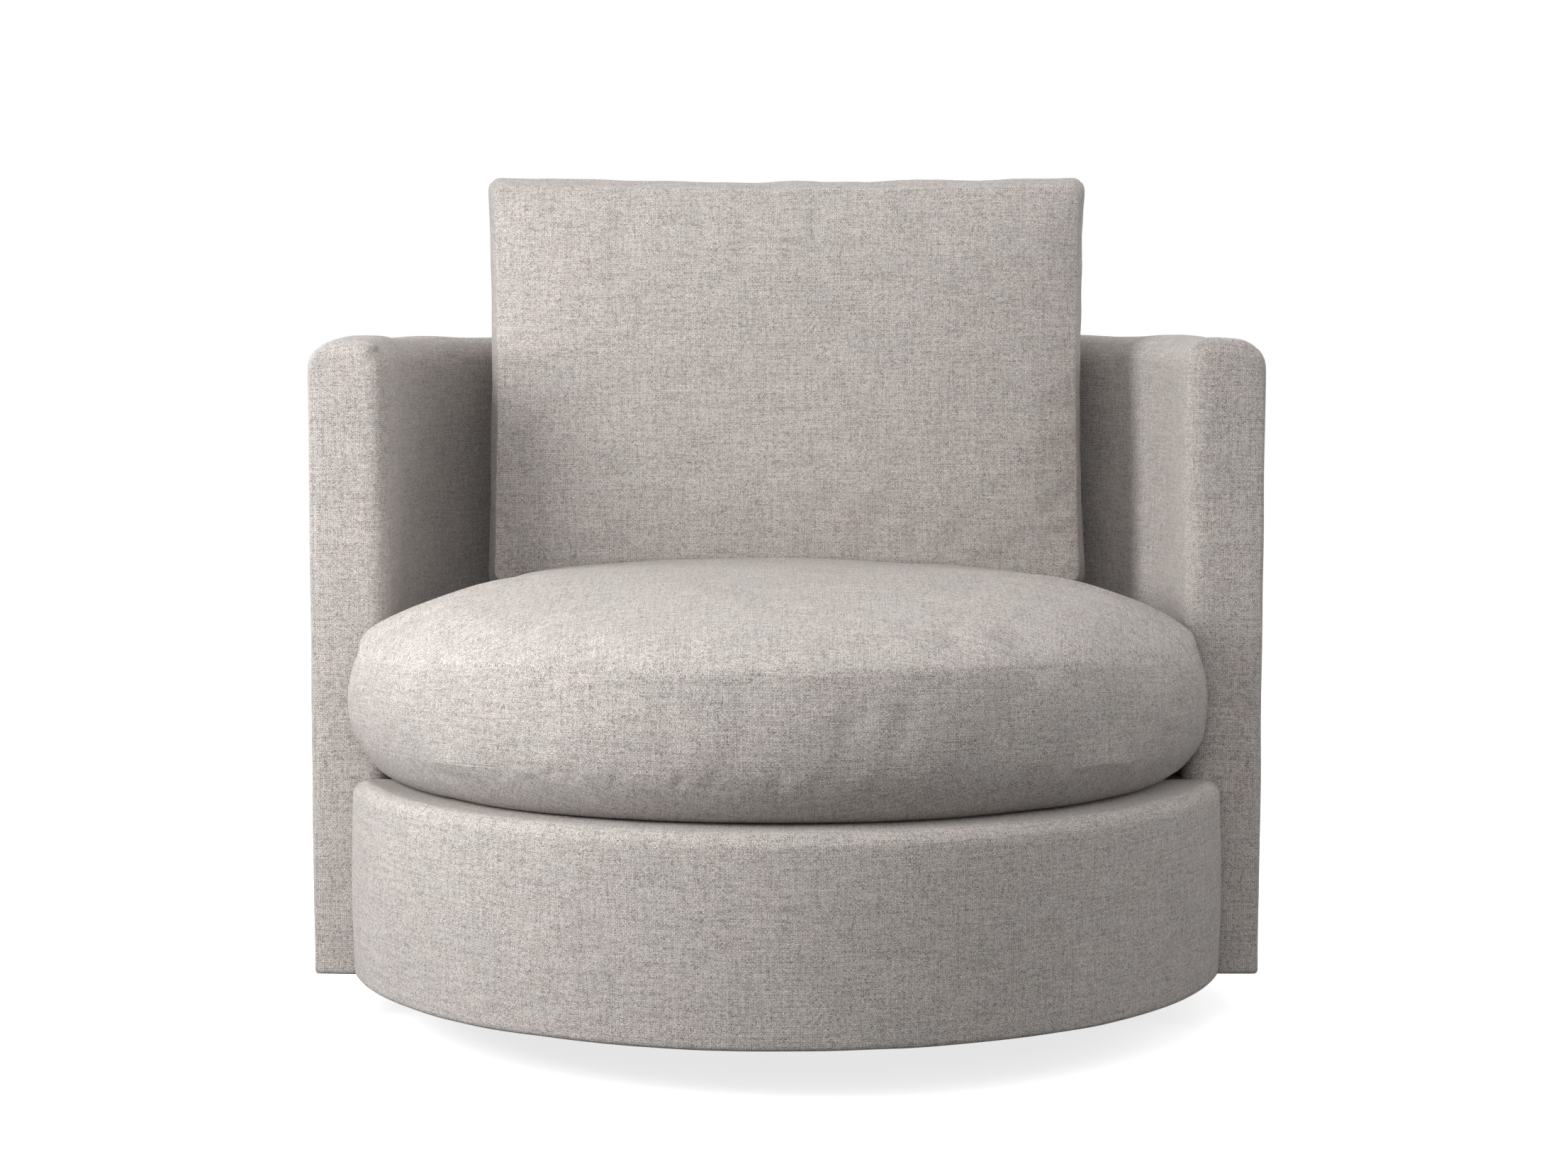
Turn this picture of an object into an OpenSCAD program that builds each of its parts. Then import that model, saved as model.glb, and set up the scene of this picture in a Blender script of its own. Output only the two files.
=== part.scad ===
// Barrel swivel chair: a padded wrap that makes the back and both arms, a round deck in front
// of it, a loose seat cushion, a loose back cushion, and a hidden ball-bearing swivel base.
// Millimetres. The origin is on the floor under the swivel axis, +Z is up, the front faces -Y.

/* [Overall size] */
// Width over the outside of the wrap, which is also the depth of the chair
chair_w = 970; // [940:2:1010]
// Height of the arms and the back
arm_top = 702; // [650:2:760]
// Clear gap between the floor and the lower edge of the covers
floor_gap = 50; // [48:1:70]
// How far the arm fronts stand ahead of the swivel axis
arm_reach = 126; // [100:2:160]
// Height of the deck under the seat cushion
deck_top = 253; // [235:1:270]
// How far the centre of the deck's round front lies ahead of the swivel axis
drum_ahead = 30; // [24:1:36]

/* [Padded wrap] */
// Thickness of the padded wall of the back and arms
wrap_t = 80; // [76:1:90]
// Radius of the wall's top edges
arm_top_r = 28; // [20:1:34]
// Radius of the soft upright edge inside each arm front
arm_edge_r = 22; // [14:1:26]
// Radius of the sewn upright edge outside each arm front
arm_seam_r = 6; // [4:1:10]
// Radius of the edge between an arm's front and its top
arm_brow_r = 14; // [8:1:20]
// Radius at the lower edge of the covers
hem_r = 7; // [5:0.5:7]
// Thickness of the upholstery cloth
cloth_t = 1.5; // [1:0.1:2.5]
// Thickness of the wadding over the outside board
wadding_t = 5.5; // [3:0.5:7]
// Thickness of the foam on top of the top rail
top_foam_t = 18.5; // [14:0.5:24]
// Thickness of the foam on the arm fronts
front_foam_t = 18; // [12:1:24]
// Width of cloth turned under the frame at the hem
hem_w = 35; // [25:1:45]

/* [Wooden frame] */
// Thickness of the plywood rails and rings
ply_t = 18; // [15:1:20]
// Thickness of the bent skins
skin_t = 5; // [3:0.5:6]
// Depth of the wrap's rails and studs between its two skins
stud_depth = 36; // [32:1:40]
// Width of a stud along the wall
stud_w = 25; // [22:1:30]
// Number of studs round the half barrel
stud_count = 9; // [5:4:13]
// Thickness of the two arm posts, front to back
arm_post_t = 22; // [18:1:30]
// Width of the deck's two rings
ring_w = 60; // [50:1:75]
// Side of the square deck posts
post_w = 36; // [30:1:40]
// Width of the board that the swivel is bolted to
board_w = 340; // [300:5:400]
// Width of the two cross rails
rail_w = 38; // [30:1:44]
// Height of the two cross rails
rail_h = 60; // [45:1:80]
// Distance of each cross rail from the swivel axis
rail_y = 130; // [128:1:140]
// Distance of the outer rail screws from the ends of the rails
rail_screw_in = 47; // [42:1:52]
// Distance of the inner rail screws from the middle
board_screw_x = 120; // [90:1:140]
// Diameter of a rail screw
screw_d = 5; // [4:0.5:6]
// Length of a rail screw
screw_l = 55; // [45:1:60]
// Height of the bolts that join the wrap to the deck
join_z = 136; // [132:1:150]
// Diameter of the frame bolts
bolt_d = 8; // [6:1:8]
// Diameter of a frame bolt's head
bolt_head_d = 13; // [12:1:15]
// Height of a frame bolt's head
bolt_head_h = 5.3; // [4:0.1:6]
// Outer diameter of a tee nut's barrel
tee_d = 10; // [9.6:0.1:11]
// Length of a tee nut's barrel
tee_l = 9.5; // [7:0.5:11]
// Diameter of a tee nut's flange
tee_flange_d = 20; // [17:0.5:21]
// Thickness of a tee nut's flange
tee_flange_t = 1.2; // [1:0.1:1.6]

/* [Deck] */
// Thickness of the foam under the deck cloth
deck_foam_t = 25; // [15:1:30]
// Thickness of the foam round the deck front
drum_foam_t = 12; // [8:1:16]
// How far the deck front swells at half its height
drum_crown = 6; // [0:0.5:8]
// Radius of the deck front's upper edge
drum_edge_r = 20; // [12:1:24]
// Thickness of one layer of webbing
web_t = 2.5; // [1.5:0.5:3.5]
// Width of a webbing strap
web_w = 50; // [40:2:60]
// Distance between neighbouring straps, middle to middle
web_spacing = 95; // [80:1:110]
// Number of straps in each direction
web_count = 7; // [5:1:7]

/* [Seat cushion] */
// How far the cushion's round front stays inside the deck's
seat_set_in = 5; // [3:1:10]
// Height of the lower seam
seat_seam_lo = 301; // [290:1:312]
// Height of the upper seam
seat_seam_hi = 398; // [380:1:410]
// Rise of the crown over the upper seam
seat_crown = 70; // [40:1:80]
// How far the underside draws in from the widest line to the deck
seat_tuck = 36; // [20:1:44]
// How far the seams draw in from the boxing
seam_in = 3; // [1:0.5:5]
// Gap between the cushion and the wrap
seat_gap = 1; // [0.5:0.1:2]
// Extra room behind the cushion for its zip
seat_rear_gap = 6; // [5:0.5:8]
// How far the foam core stays inside the cushion's outline
seat_core_in = 40; // [34:1:60]
// Thickness of the foam core
seat_core_t = 136; // [110:1:140]
// Height of the fibre wrap under the foam core
seat_fibre_t = 9; // [8:1:14]

/* [Back cushion] */
// Room between the back cushion and each arm
back_side_room = 80; // [70:1:105]
// Height of its upper edge above the floor
back_top = 874; // [840:2:900]
// Height of its lower corners above the floor
back_low = 425; // [420:1:440]
// Depth of its boxing
back_box_t = 120; // [90:2:140]
// Swell of its front panel
back_crown_f = 50; // [30:1:60]
// Swell of its rear panel
back_crown_b = 45; // [30:1:55]
// Radius of its corners
back_corner_r = 34; // [24:1:50]
// How far its edges draw in between the corners
back_draw = 6; // [0:0.5:10]
// Lean from upright, in degrees
back_lean = 5; // [0:0.5:8]
// How far its foam core stays inside the panels' edges
back_core_in = 50; // [48:1:60]
// How far its foam core stays inside the seams, front and back
back_core_off = 10; // [8:1:20]

/* [Zips] */
// Width of a zip tape
zip_w = 18; // [14:1:22]
// Thickness of a zip tape
zip_t = 1; // [0.8:0.1:1.2]
// Length of a slider along its zip
slider_l = 26; // [18:1:30]
// Height of a slider across its zip
slider_w = 9; // [7:1:11]
// Thickness of a slider
slider_t = 2.8; // [2:0.1:3]
// Angle that the seat zip covers, in degrees
seat_zip_a = 96; // [80:1:100]
// Angle from the middle of the back to the seat slider when the zip is closed, in degrees
seat_slide_a = 44; // [30:1:46]
// How far the ends of the back cushion's zip stay inside its sides
back_zip_in = 75; // [65:1:125]
// Height of the back cushion's zip above its lower corners
back_zip_up = 77; // [70:1:90]
// Depth of the fold that the back zip lies in, from the rear seam outwards
back_zip_out = 13; // [10:0.5:14]

/* [Swivel base] */
// How far the base disc stays inside the wrap
base_in = 195; // [165:5:235]
// Thickness of the base disc
base_t = 22; // [20:1:22]
// Height of the glides
glide_h = 8; // [6:1:9]
// Radius of a glide
glide_r = 15; // [12:1:20]
// Distance of the glides' middles from the edge of the base disc
glide_in = 40; // [25:1:60]
// Number of glides
glide_count = 6; // [4:1:8]
// Diameter of a glide's screw
glide_screw_d = 4.5; // [3.5:0.5:5]
// Diameter of its head
glide_head_d = 9; // [7:0.5:10]
// Height of its head
glide_head_h = 3; // [2:0.5:3.5]
// Depth of its head in the glide
glide_head_sink = 2; // [1:0.5:2.5]
// Length of its shank
glide_screw_l = 19; // [15:1:20]
// Side of the square swivel plates
plate_w = 230; // [220:2:250]
// Thickness of the swivel plates
plate_t = 3; // [2.5:0.1:3.5]
// Distance of the plate's corner holes from its middle lines
plate_hole = 95; // [92:1:98]
// Diameter of the screws through the lower plate
plate_screw_d = 6; // [5:0.5:7]
// Diameter of their heads
plate_head_d = 12; // [10:0.5:13]
// Height of their heads
plate_head_h = 3; // [2:0.5:4]
// Length of their shanks
plate_screw_l = 20; // [15:1:22]
// Radius of the circle that the balls run on
race_r = 78; // [70:1:80]
// Diameter of a ball
ball_d = 12; // [10:0.5:12]
// Number of balls
ball_count = 20; // [12:1:24]
// Width of the raised races and of the ball cage
race_w = 22; // [20:1:24]
// Thickness of the ball cage
cage_t = 2; // [1.5:0.1:2.5]
// Diameter of the kingpin
pin_d = 16; // [12:1:20]
// Diameter of the kingpin's head
pin_head_d = 30; // [26:1:34]
// Height of the kingpin's head
pin_head_h = 5.5; // [4:0.5:7]
// Height of the kingpin above the upper plate
pin_up = 13; // [11.5:0.5:15]
// Diameter of the thrust washer
washer_d = 34; // [30:1:38]
// Thickness of the thrust washer
washer_t = 2.5; // [2:0.1:3]
// Width across the flats of the kingpin's nut
nut_flats = 24; // [22:1:27]
// Height of the kingpin's nut
nut_h = 8; // [6:0.5:8]
// Diameter of the clearance hole over the nut
nut_room_d = 44; // [42:1:50]

/* [Fits] */
// Gap between pieces that lie on each other but come apart
rest_gap = 0.3; // [0.3:0.05:0.5]
// Gap between close pieces of one body that don't press on each other
side_gap = 0.2; // [0.1:0.05:0.4]
// Room round the sunk heads of the kingpin and the glide screws
head_gap = 0.4; // [0.3:0.1:0.8]
// Room between the swivel plate and the dust cover
dust_gap = 1; // [0.5:0.5:3]
// Running clearance on radius, at the kingpin and the balls
run_gap = 0.05; // [0.02:0.01:0.1]
// Clearance on radius round bolts and screws
hole_gap = 0.2; // [0.1:0.05:0.3]

/* [Hidden] */
$fa = 3;
$fs = 1;

cloth_colour = [0.76, 0.73, 0.71];
foam_colour = [0.95, 0.92, 0.80];
fibre_colour = [0.96, 0.96, 0.95];
ply_colour = [0.80, 0.66, 0.46];
wood_colour = [0.72, 0.55, 0.36];
black_colour = [0.12, 0.12, 0.12];
steel_colour = [0.68, 0.69, 0.71];
web_colour = [0.25, 0.22, 0.20];

// Radii through the wrap, from the outside in
wrap_r = chair_w / 2;
inner_r = wrap_r - wrap_t;
wadding_r = wrap_r - cloth_t;
skin_r = wadding_r - wadding_t;
stud_r = skin_r - skin_t;
stud_in_r = stud_r - stud_depth;
frame_r = stud_in_r - skin_t;

// The deck front reaches as far ahead of the swivel axis as the wrap reaches behind it
drum_r = wrap_r - drum_ahead;
drum_skin_r = drum_r - cloth_t - drum_foam_t;
drum_frame_r = drum_skin_r - skin_t;

// Heights
frame_low = floor_gap + cloth_t;
web_top = deck_top - cloth_t - deck_foam_t;
deck_ring_top = web_top - 2 * web_t;
deck_ring_low = deck_ring_top - ply_t;
bottom_ring_top = frame_low + ply_t;
wood_top = arm_top - cloth_t - top_foam_t;
front_face = -arm_reach;
post_front = front_face + cloth_t + front_foam_t;
post_back = post_front + arm_post_t;

// Swivel base, and the bearing between the base disc and the frame
base_r = wrap_r - base_in;
glide_at = base_r - glide_in;
base_top = glide_h + base_t;
lower_plate_top = base_top + plate_t;
upper_plate_low = frame_low - plate_t;
ball_z = (lower_plate_top + upper_plate_low) / 2;
race_gap = 2.25;

// Seat cushion
seat_r = drum_r - seat_set_in;
seat_low = deck_top + rest_gap;
seat_half_w = inner_r - seat_gap;
seat_band = (seat_seam_hi - seat_seam_lo) / 4;
crown_power = 3;
round_power = 6;
shoulder_round = 1.5;
seat_scales = [0.93, 0.82, 0.64, 0.42, 0.2];

// Back cushion: its rear corners stand just clear of the wrap at the height of the arms
back_w = 2 * (inner_r - back_side_room);
back_zip_l = back_w - 2 * back_zip_in;
back_mid = (back_top + back_low) / 2;
back_half_h = (back_top - back_low) / 2;
back_seam_y = sqrt(pow(inner_r - seat_gap, 2) - pow(back_w / 2, 2))
    - (arm_top - back_low) * tan(back_lean);
front_seam_y = back_seam_y - back_box_t;
back_band = back_box_t / 5;
swell_power = 2.2;
back_scales = [0.25, 0.5, 0.72, 0.9];
pillow_gap = 0.6;

// How finely the outlines are divided
corner_steps = 6;
crown_steps = 8;
front_steps = 9;
hollow_steps = 4;
pillow_corner_steps = 4;
pillow_edge_steps = 6;

// A length past the whole chair, and a cutter's reach past the face it cuts
far = 2 * chair_w;
over = 1;

// Points on an arc round c from angle a0 to a1
function arc(c, r, a0, a1, steps) =
    [for (i = [0:steps]) let (a = a0 + (a1 - a0) * i / steps) c + r * [cos(a), sin(a)]];

// Cross-section of the padded wall as [radius, height], drawn in by inset
function wall_section(inset) = concat(
    arc([wrap_r - hem_r, floor_gap + hem_r], hem_r - inset, -90, 0, corner_steps),
    arc([wrap_r - arm_top_r, arm_top - arm_top_r], arm_top_r - inset, 0, 90, corner_steps),
    arc([inner_r + arm_top_r, arm_top - arm_top_r], arm_top_r - inset, 90, 180, corner_steps),
    arc([inner_r + hem_r, floor_gap + hem_r], hem_r - inset, 180, 270, corner_steps)
);

// Half section of the round deck front as [radius, height], drawn in by inset
function drum_section(inset) =
    let (edge = drum_r - drum_crown, low = floor_gap + hem_r, high = deck_top - drum_edge_r,
        mid = (low + high) / 2, half = (high - low) / 2)
    concat(
        [[0, floor_gap + inset]],
        arc([edge - hem_r, low], hem_r - inset, -90, 0, corner_steps),
        [for (i = [1:crown_steps - 1]) let (t = 2 * i / crown_steps - 1)
            [drum_r - inset - drum_crown * t * t, mid + half * t]],
        arc([edge - drum_edge_r, high], drum_edge_r - inset, 0, 90, corner_steps),
        [[0, deck_top - inset]]
    );

// What is cut away to round a corner whose solid lies towards +X and +Y
function corner_cut(r) = concat(arc([r, r], r, 180, 270, corner_steps),
    [[r, -over], [-over, -over], [-over, r]]);

// The space ahead of the arm fronts
module ahead_of_arms() {
    translate([-far / 2, front_face - far, 0]) cube([far, far, far]);
}

// A block with straight sides and a half-round back, from the plane y to the back
module u_block(r, low, high, y = front_face) {
    intersection() {
        translate([0, 0, low]) cylinder(r = r, h = high - low);
        translate([-far / 2, 0, 0]) cube([far, far, far]);
    }
    translate([-r, y, low]) cube([2 * r, -y, high - low]);
}

// A block under the round deck front, ahead of the arm fronts
module d_block(r, low, high) {
    intersection() {
        translate([0, -drum_ahead, low]) cylinder(r = r, h = high - low);
        ahead_of_arms();
    }
}

// A block of the whole deck's outline: front_r at the round front, rear_r inside the wrap
module deck_block(front_r, rear_r, low, high) {
    d_block(front_r, low, high);
    u_block(rear_r, low, high);
}

// The padded wrap as one solid, with every face drawn in by inset
module wrap_solid(inset) {
    rotate_extrude(angle = 180) polygon(wall_section(inset));
    for (side = [0, 1]) mirror([side, 0, 0]) arm_solid(inset);
}

module arm_solid(inset) {
    front = front_face + inset;
    difference() {
        rotate([90, 0, 0]) linear_extrude(-front) polygon(wall_section(inset));
        translate([inner_r + inset, front, 0])
            linear_extrude(far) polygon(corner_cut(arm_edge_r - inset));
        translate([wrap_r - inset, front, 0]) mirror([1, 0, 0])
            linear_extrude(far) polygon(corner_cut(arm_seam_r - inset));
        translate([0, front, arm_top - inset]) rotate([90, 0, 90])
            linear_extrude(far) mirror([0, 1, 0]) polygon(corner_cut(arm_brow_r - inset));
    }
}

// Part of the wrap between two radii and two heights, from the plane y to the back
module wrap_layer(r_out, r_in, low, high, y) {
    difference() {
        u_block(r_out, low, high, y);
        u_block(r_in, low - over, high + over, y - over);
    }
}

// The place of the deck inside the foot of the wrap
module deck_space() {
    u_block(frame_r, 0, web_top, front_face - over);
}

// The deck front as one solid, with every face drawn in by inset
module drum_solid(inset) {
    intersection() {
        translate([0, -drum_ahead, 0]) rotate_extrude() polygon(drum_section(inset));
        ahead_of_arms();
    }
}

// Closed solid through equal rings of points, ended by a fan on its first and its last point.
// Seen from the last point, each ring runs anticlockwise.
module loft(rings, first, last) {
    n = len(rings[0]);
    top = 1 + (len(rings) - 1) * n;
    points = concat([first], [for (ring = rings) each ring], [last]);
    faces = concat(
        [for (i = [0:n - 1]) [0, 1 + i, 1 + (i + 1) % n]],
        [for (k = [0:len(rings) - 2], i = [0:n - 1])
            let (a = 1 + k * n + i, b = 1 + k * n + (i + 1) % n) each [[a, a + n, b + n], [a, b + n, b]]],
        [for (i = [0:n - 1]) [len(points) - 1, top + (i + 1) % n, top + i]]
    );
    polyhedron(points, faces);
}

// Outline of the seat cushion seen from above, drawn in by inset. Its shoulders are rounded and
// pass round the soft edges of the arms, and its back is a half circle round seat_axis. A deep
// inset ends the round front on the shoulder's hollow, and a shallow one just ahead of it.
seat_axis = [0, -seat_rear_gap];
arm_corner = [inner_r + arm_edge_r, front_face + arm_edge_r];
function seat_outline(inset) =
    let (mid = [0, -drum_ahead], r = seat_r - inset, w = seat_half_w - inset,
        hollow = arm_edge_r + seat_gap + inset, rise = arm_corner.y - hollow - mid.y,
        shallow = sqrt(r * r - rise * rise) > arm_corner.x,
        d = norm(arm_corner - mid), aim = atan2(arm_corner.y - mid.y, arm_corner.x),
        turn = shallow ? atan2(rise, arm_corner.x) - shoulder_round
            : aim - acos((r * r + d * d - hollow * hollow) / (2 * r * d)),
        from = mid + r * [cos(turn), sin(turn)] - arm_corner,
        start = shallow ? 270 : atan2(from.y, from.x) + 360,
        right = concat(arc(mid, r, -90, turn, front_steps),
            arc(arm_corner, hollow, start, 180, hollow_steps), arc(seat_axis, w, 0, 90, front_steps)))
    concat(right, [for (i = [len(right) - 2:-1:1]) [-right[i].x, right[i].y]]);

// The seat outline shrunk towards the middle of the deck by s, at the height z. The smaller the
// ring, the rounder it is, so that the crown shows no crease behind the shoulders.
function seat_ring(inset, s, z) =
    let (mid = [0, -drum_ahead], round_r = seat_half_w - inset, keep = pow(s, round_power))
    [for (p = seat_outline(inset)) let (l = norm(p - mid), r = keep * l + (1 - keep) * round_r,
        q = mid + (p - mid) * s * r / l) [q.x, q.y, z]];

// The seat cushion as one solid, with its faces drawn in by inset: a tucked underside, an
// upright boxing between two drawn-in seams, and a crown
module seat_solid(inset) {
    low = seat_low + inset;
    seam = inset + seam_in;
    rings = concat(
        [for (a = [0, 45, 90]) seat_ring(seam + (seat_tuck - seam_in) * (1 - sin(a)), 1,
            low + (seat_seam_lo - low) * (1 - cos(a)))],
        [for (z = [seat_seam_lo + seat_band, seat_seam_hi - seat_band]) seat_ring(inset, 1, z)],
        [for (s = concat([1], seat_scales))
            seat_ring(seam, s, seat_seam_hi - inset + crown_rise(s))]
    );
    loft(rings, [0, -drum_ahead, low], [0, -drum_ahead, seat_seam_hi - inset + seat_crown]);
}

function crown_rise(s) = seat_crown * (1 - pow(s, crown_power));

// Height of the seat cushion's top at a place over its rear half
function seat_top(x, y) =
    let (dx = x, dy = y + drum_ahead, l = max(norm([dx, dy]), 1), oy = -drum_ahead - seat_axis.y,
        along = dy / l * oy, reach = seat_half_w - seam_in,
        edge = sqrt(along * along - oy * oy + reach * reach) - along)
    seat_seam_hi + crown_rise(min(l / edge, 1));

// Outline of the back cushion seen from the front, as [x, height over its middle]: round
// corners joined by edges that draw in
function back_outline(inset) =
    let (a = back_w / 2 - inset, b = back_half_h - inset, r = back_corner_r,
        corners = [[1, 1], [-1, 1], [-1, -1], [1, -1]],
        arcs = [for (q = [0:3]) arc([corners[q].x * (a - r), corners[q].y * (b - r)], r,
            90 * q, 90 * (q + 1), pillow_corner_steps)],
        path = [for (q = [0:3]) each concat(arcs[q],
            let (from = arcs[q][pillow_corner_steps], to = arcs[(q + 1) % 4][0])
                [for (i = [1:pillow_edge_steps - 1]) from + (to - from) * i / pillow_edge_steps])])
    [for (p = path) [
        p.x * (1 - back_draw / a * (1 - pow(p.y / b, 2))),
        p.y * (1 - back_draw / b * (1 - pow(p.x / a, 2)))
    ]];

// The back outline shrunk by s and set at the depth y, swelling by crown towards its middle,
// leaning back, and resting on the seat
function back_ring(inset, s, y, crown = 0) = [for (p = back_outline(inset))
    let (x = p.x * s, z = back_mid + p.y * s,
        py = y + crown * swell(x, back_w / 2) * swell(z - back_mid, back_half_h)
            + (z - back_low) * tan(back_lean))
    [x, py, max(z, seat_top(x, py) + pillow_gap + inset)]];

function swell(d, half) = 1 - pow(min(abs(d) / half, 1), swell_power);

// The back cushion as one solid, with its faces drawn in by inset and the fold for its zip
module back_solid(inset) {
    rear = back_seam_y - inset;
    front = front_seam_y + inset;
    seam = inset + seam_in;
    lean_mid = back_half_h * tan(back_lean);
    rings = concat(
        [for (s = back_scales) back_ring(seam, s, rear, back_crown_b)],
        [back_ring(seam, 1, rear)],
        [for (y = [rear - back_band, front + back_band]) back_ring(inset, 1, y)],
        [back_ring(seam, 1, front)],
        [for (i = [len(back_scales) - 1:-1:0])
            back_ring(seam, back_scales[i], front, -back_crown_f)]
    );
    difference() {
        loft(rings, [0, rear + back_crown_b + lean_mid, back_mid],
            [0, front - back_crown_f + lean_mid, back_mid]);
        back_zip_fold(inset);
    }
}

back_zip_z = back_low + back_zip_up;
back_zip_y = back_seam_y + back_zip_out + back_zip_up * tan(back_lean);

// The fold across the rear panel that hides the zip, widened by grow
module back_zip_fold(grow) {
    l = back_zip_l + 2 * (side_gap + grow);
    w = zip_w + 2 * (side_gap + grow);
    translate([-l / 2, back_zip_y - grow, back_zip_z - w / 2]) cube([l, far, w]);
}

// Places: the swivel plates' four corners, the rail screws, and the bolts into the wrap
plate_holes = [for (x = [-1, 1], y = [-1, 1]) plate_hole * [x, y]];
rail_screw_x = frame_r - rail_screw_in;
rail_holes = [for (x = [-rail_screw_x, -board_screw_x, board_screw_x, rail_screw_x], y = [-1, 1])
    [x, rail_y * y]];
join_step = 45;
join_angles = [0:join_step:180];
stud_angles = [for (i = [0:stud_count - 1]) 180 * i / (stud_count - 1)];
front_post_step = 30;
front_post_angles = [-90 - 2 * front_post_step:front_post_step:-90 + 2 * front_post_step];
post_r = frame_r - 2 * hole_gap - post_w;
front_post_r = drum_frame_r - 2 * hole_gap - post_w;

module uprights(places, d, low, high) {
    for (p = places) translate([p.x, p.y, low]) cylinder(d = d, h = high - low);
}

// Level cylinders that point away from the swivel axis, at the bolts into the wrap
module spokes(d, from, to) {
    for (a = join_angles) rotate([0, 0, a]) translate([from, 0, join_z]) rotate([0, 90, 0])
        cylinder(d = d, h = to - from);
}

// Swivel base

module glides() {
    color(black_colour) for (i = [0:glide_count - 1]) rotate([0, 0, 360 * i / glide_count])
        translate([glide_at, 0, 0]) difference() {
            cylinder(r = glide_r, h = glide_h);
            translate([0, 0, -over])
                cylinder(d = glide_screw_d + 2 * hole_gap, h = glide_h + 2 * over);
            translate([0, 0, -over])
                cylinder(d = glide_head_d + 2 * head_gap, h = glide_seat + over);
        }
}

// Underside of the glide screws' heads, sunk clear of the floor
glide_seat = glide_head_h + glide_head_sink;

module glide_screw_shapes(gap) {
    for (i = [0:glide_count - 1]) rotate([0, 0, 360 * i / glide_count])
        translate([glide_at, 0, 0]) {
            translate([0, 0, glide_seat])
                cylinder(d = glide_screw_d + 2 * gap, h = glide_screw_l + gap);
            translate([0, 0, glide_seat - glide_head_h])
                cylinder(d = glide_head_d, h = glide_head_h);
        }
}

module glide_screws() {
    color(steel_colour) glide_screw_shapes(0);
}

module base_disc() {
    color(black_colour) difference() {
        translate([0, 0, glide_h]) cylinder(r = base_r, h = base_t);
        glide_screw_shapes(hole_gap);
        uprights(plate_holes, plate_screw_d + 2 * hole_gap,
            lower_plate_top - plate_screw_l - hole_gap, base_top + over);
        translate([0, 0, base_top - pin_head_h - hole_gap])
            cylinder(d = pin_head_d + 2 * head_gap, h = base_t);
    }
}

// A raised ring under or over the balls, without its groove
module race(low, high) {
    translate([0, 0, low]) difference() {
        cylinder(r = race_r + race_w / 2, h = high - low);
        translate([0, 0, -over]) cylinder(r = race_r - race_w / 2, h = high - low + 2 * over);
    }
}

// A through hole for the kingpin in a piece that starts at low and is t thick
module pin_hole(low, t) {
    translate([0, 0, low - over]) cylinder(d = pin_d + 2 * run_gap, h = t + 2 * over);
}

module race_groove() {
    translate([0, 0, ball_z]) rotate_extrude() translate([race_r, 0])
        circle(r = ball_d / 2 + run_gap);
}

module swivel_plate(low, high) {
    translate([-plate_w / 2, -plate_w / 2, low]) cube([plate_w, plate_w, high - low]);
}

module lower_plate() {
    color(steel_colour) difference() {
        union() {
            swivel_plate(base_top, lower_plate_top);
            race(lower_plate_top, ball_z - race_gap);
        }
        race_groove();
        uprights(plate_holes, plate_screw_d + 2 * hole_gap, base_top - over, lower_plate_top + over);
        pin_hole(base_top, plate_t);
    }
}

module lower_plate_screws() {
    color(steel_colour) {
        uprights(plate_holes, plate_screw_d, lower_plate_top - plate_screw_l, lower_plate_top);
        uprights(plate_holes, plate_head_d, lower_plate_top, lower_plate_top + plate_head_h);
    }
}

module kingpin() {
    color(steel_colour) {
        translate([0, 0, base_top - pin_head_h]) cylinder(d = pin_head_d, h = pin_head_h);
        translate([0, 0, base_top]) cylinder(d = pin_d, h = frame_low + pin_up - base_top);
    }
}

washer_low = frame_low + rest_gap;

module kingpin_washer() {
    color(steel_colour) translate([0, 0, washer_low]) difference() {
        cylinder(d = washer_d, h = washer_t);
        pin_hole(0, washer_t);
    }
}

module kingpin_nut() {
    color(steel_colour) translate([0, 0, washer_low + washer_t]) difference() {
        cylinder(d = nut_flats / cos(30), h = nut_h, $fn = 6);
        pin_hole(0, nut_h);
    }
}

// Bearing

module bearing_balls() {
    color(steel_colour) for (i = [0:ball_count - 1]) rotate([0, 0, 360 * i / ball_count])
        translate([race_r, 0, ball_z]) sphere(d = ball_d);
}

module ball_cage() {
    color(steel_colour) difference() {
        race(ball_z - cage_t / 2, ball_z + cage_t / 2);
        for (i = [0:ball_count - 1]) rotate([0, 0, 360 * i / ball_count])
            translate([race_r, 0, ball_z - cage_t])
                cylinder(d = ball_d + 2 * run_gap, h = 2 * cage_t);
    }
}

module upper_plate() {
    color(steel_colour) difference() {
        union() {
            swivel_plate(upper_plate_low, frame_low);
            race(ball_z + race_gap, upper_plate_low);
        }
        race_groove();
        uprights(plate_holes, bolt_d + 2 * hole_gap, upper_plate_low - over, frame_low + over);
        pin_hole(upper_plate_low, plate_t);
    }
}

module upper_plate_bolts() {
    color(steel_colour) {
        uprights(plate_holes, bolt_head_d, upper_plate_low - bolt_head_h, upper_plate_low);
        uprights(plate_holes, bolt_d, upper_plate_low, bottom_ring_top);
    }
}

module plate_tee_nuts() {
    color(steel_colour) difference() {
        union() {
            uprights(plate_holes, tee_d, bottom_ring_top - tee_l, bottom_ring_top);
            uprights(plate_holes, tee_flange_d, bottom_ring_top, bottom_ring_top + tee_flange_t);
        }
        uprights(plate_holes, bolt_d + 2 * run_gap, frame_low, bottom_ring_top + 2 * tee_flange_t);
    }
}

// Deck frame

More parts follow.
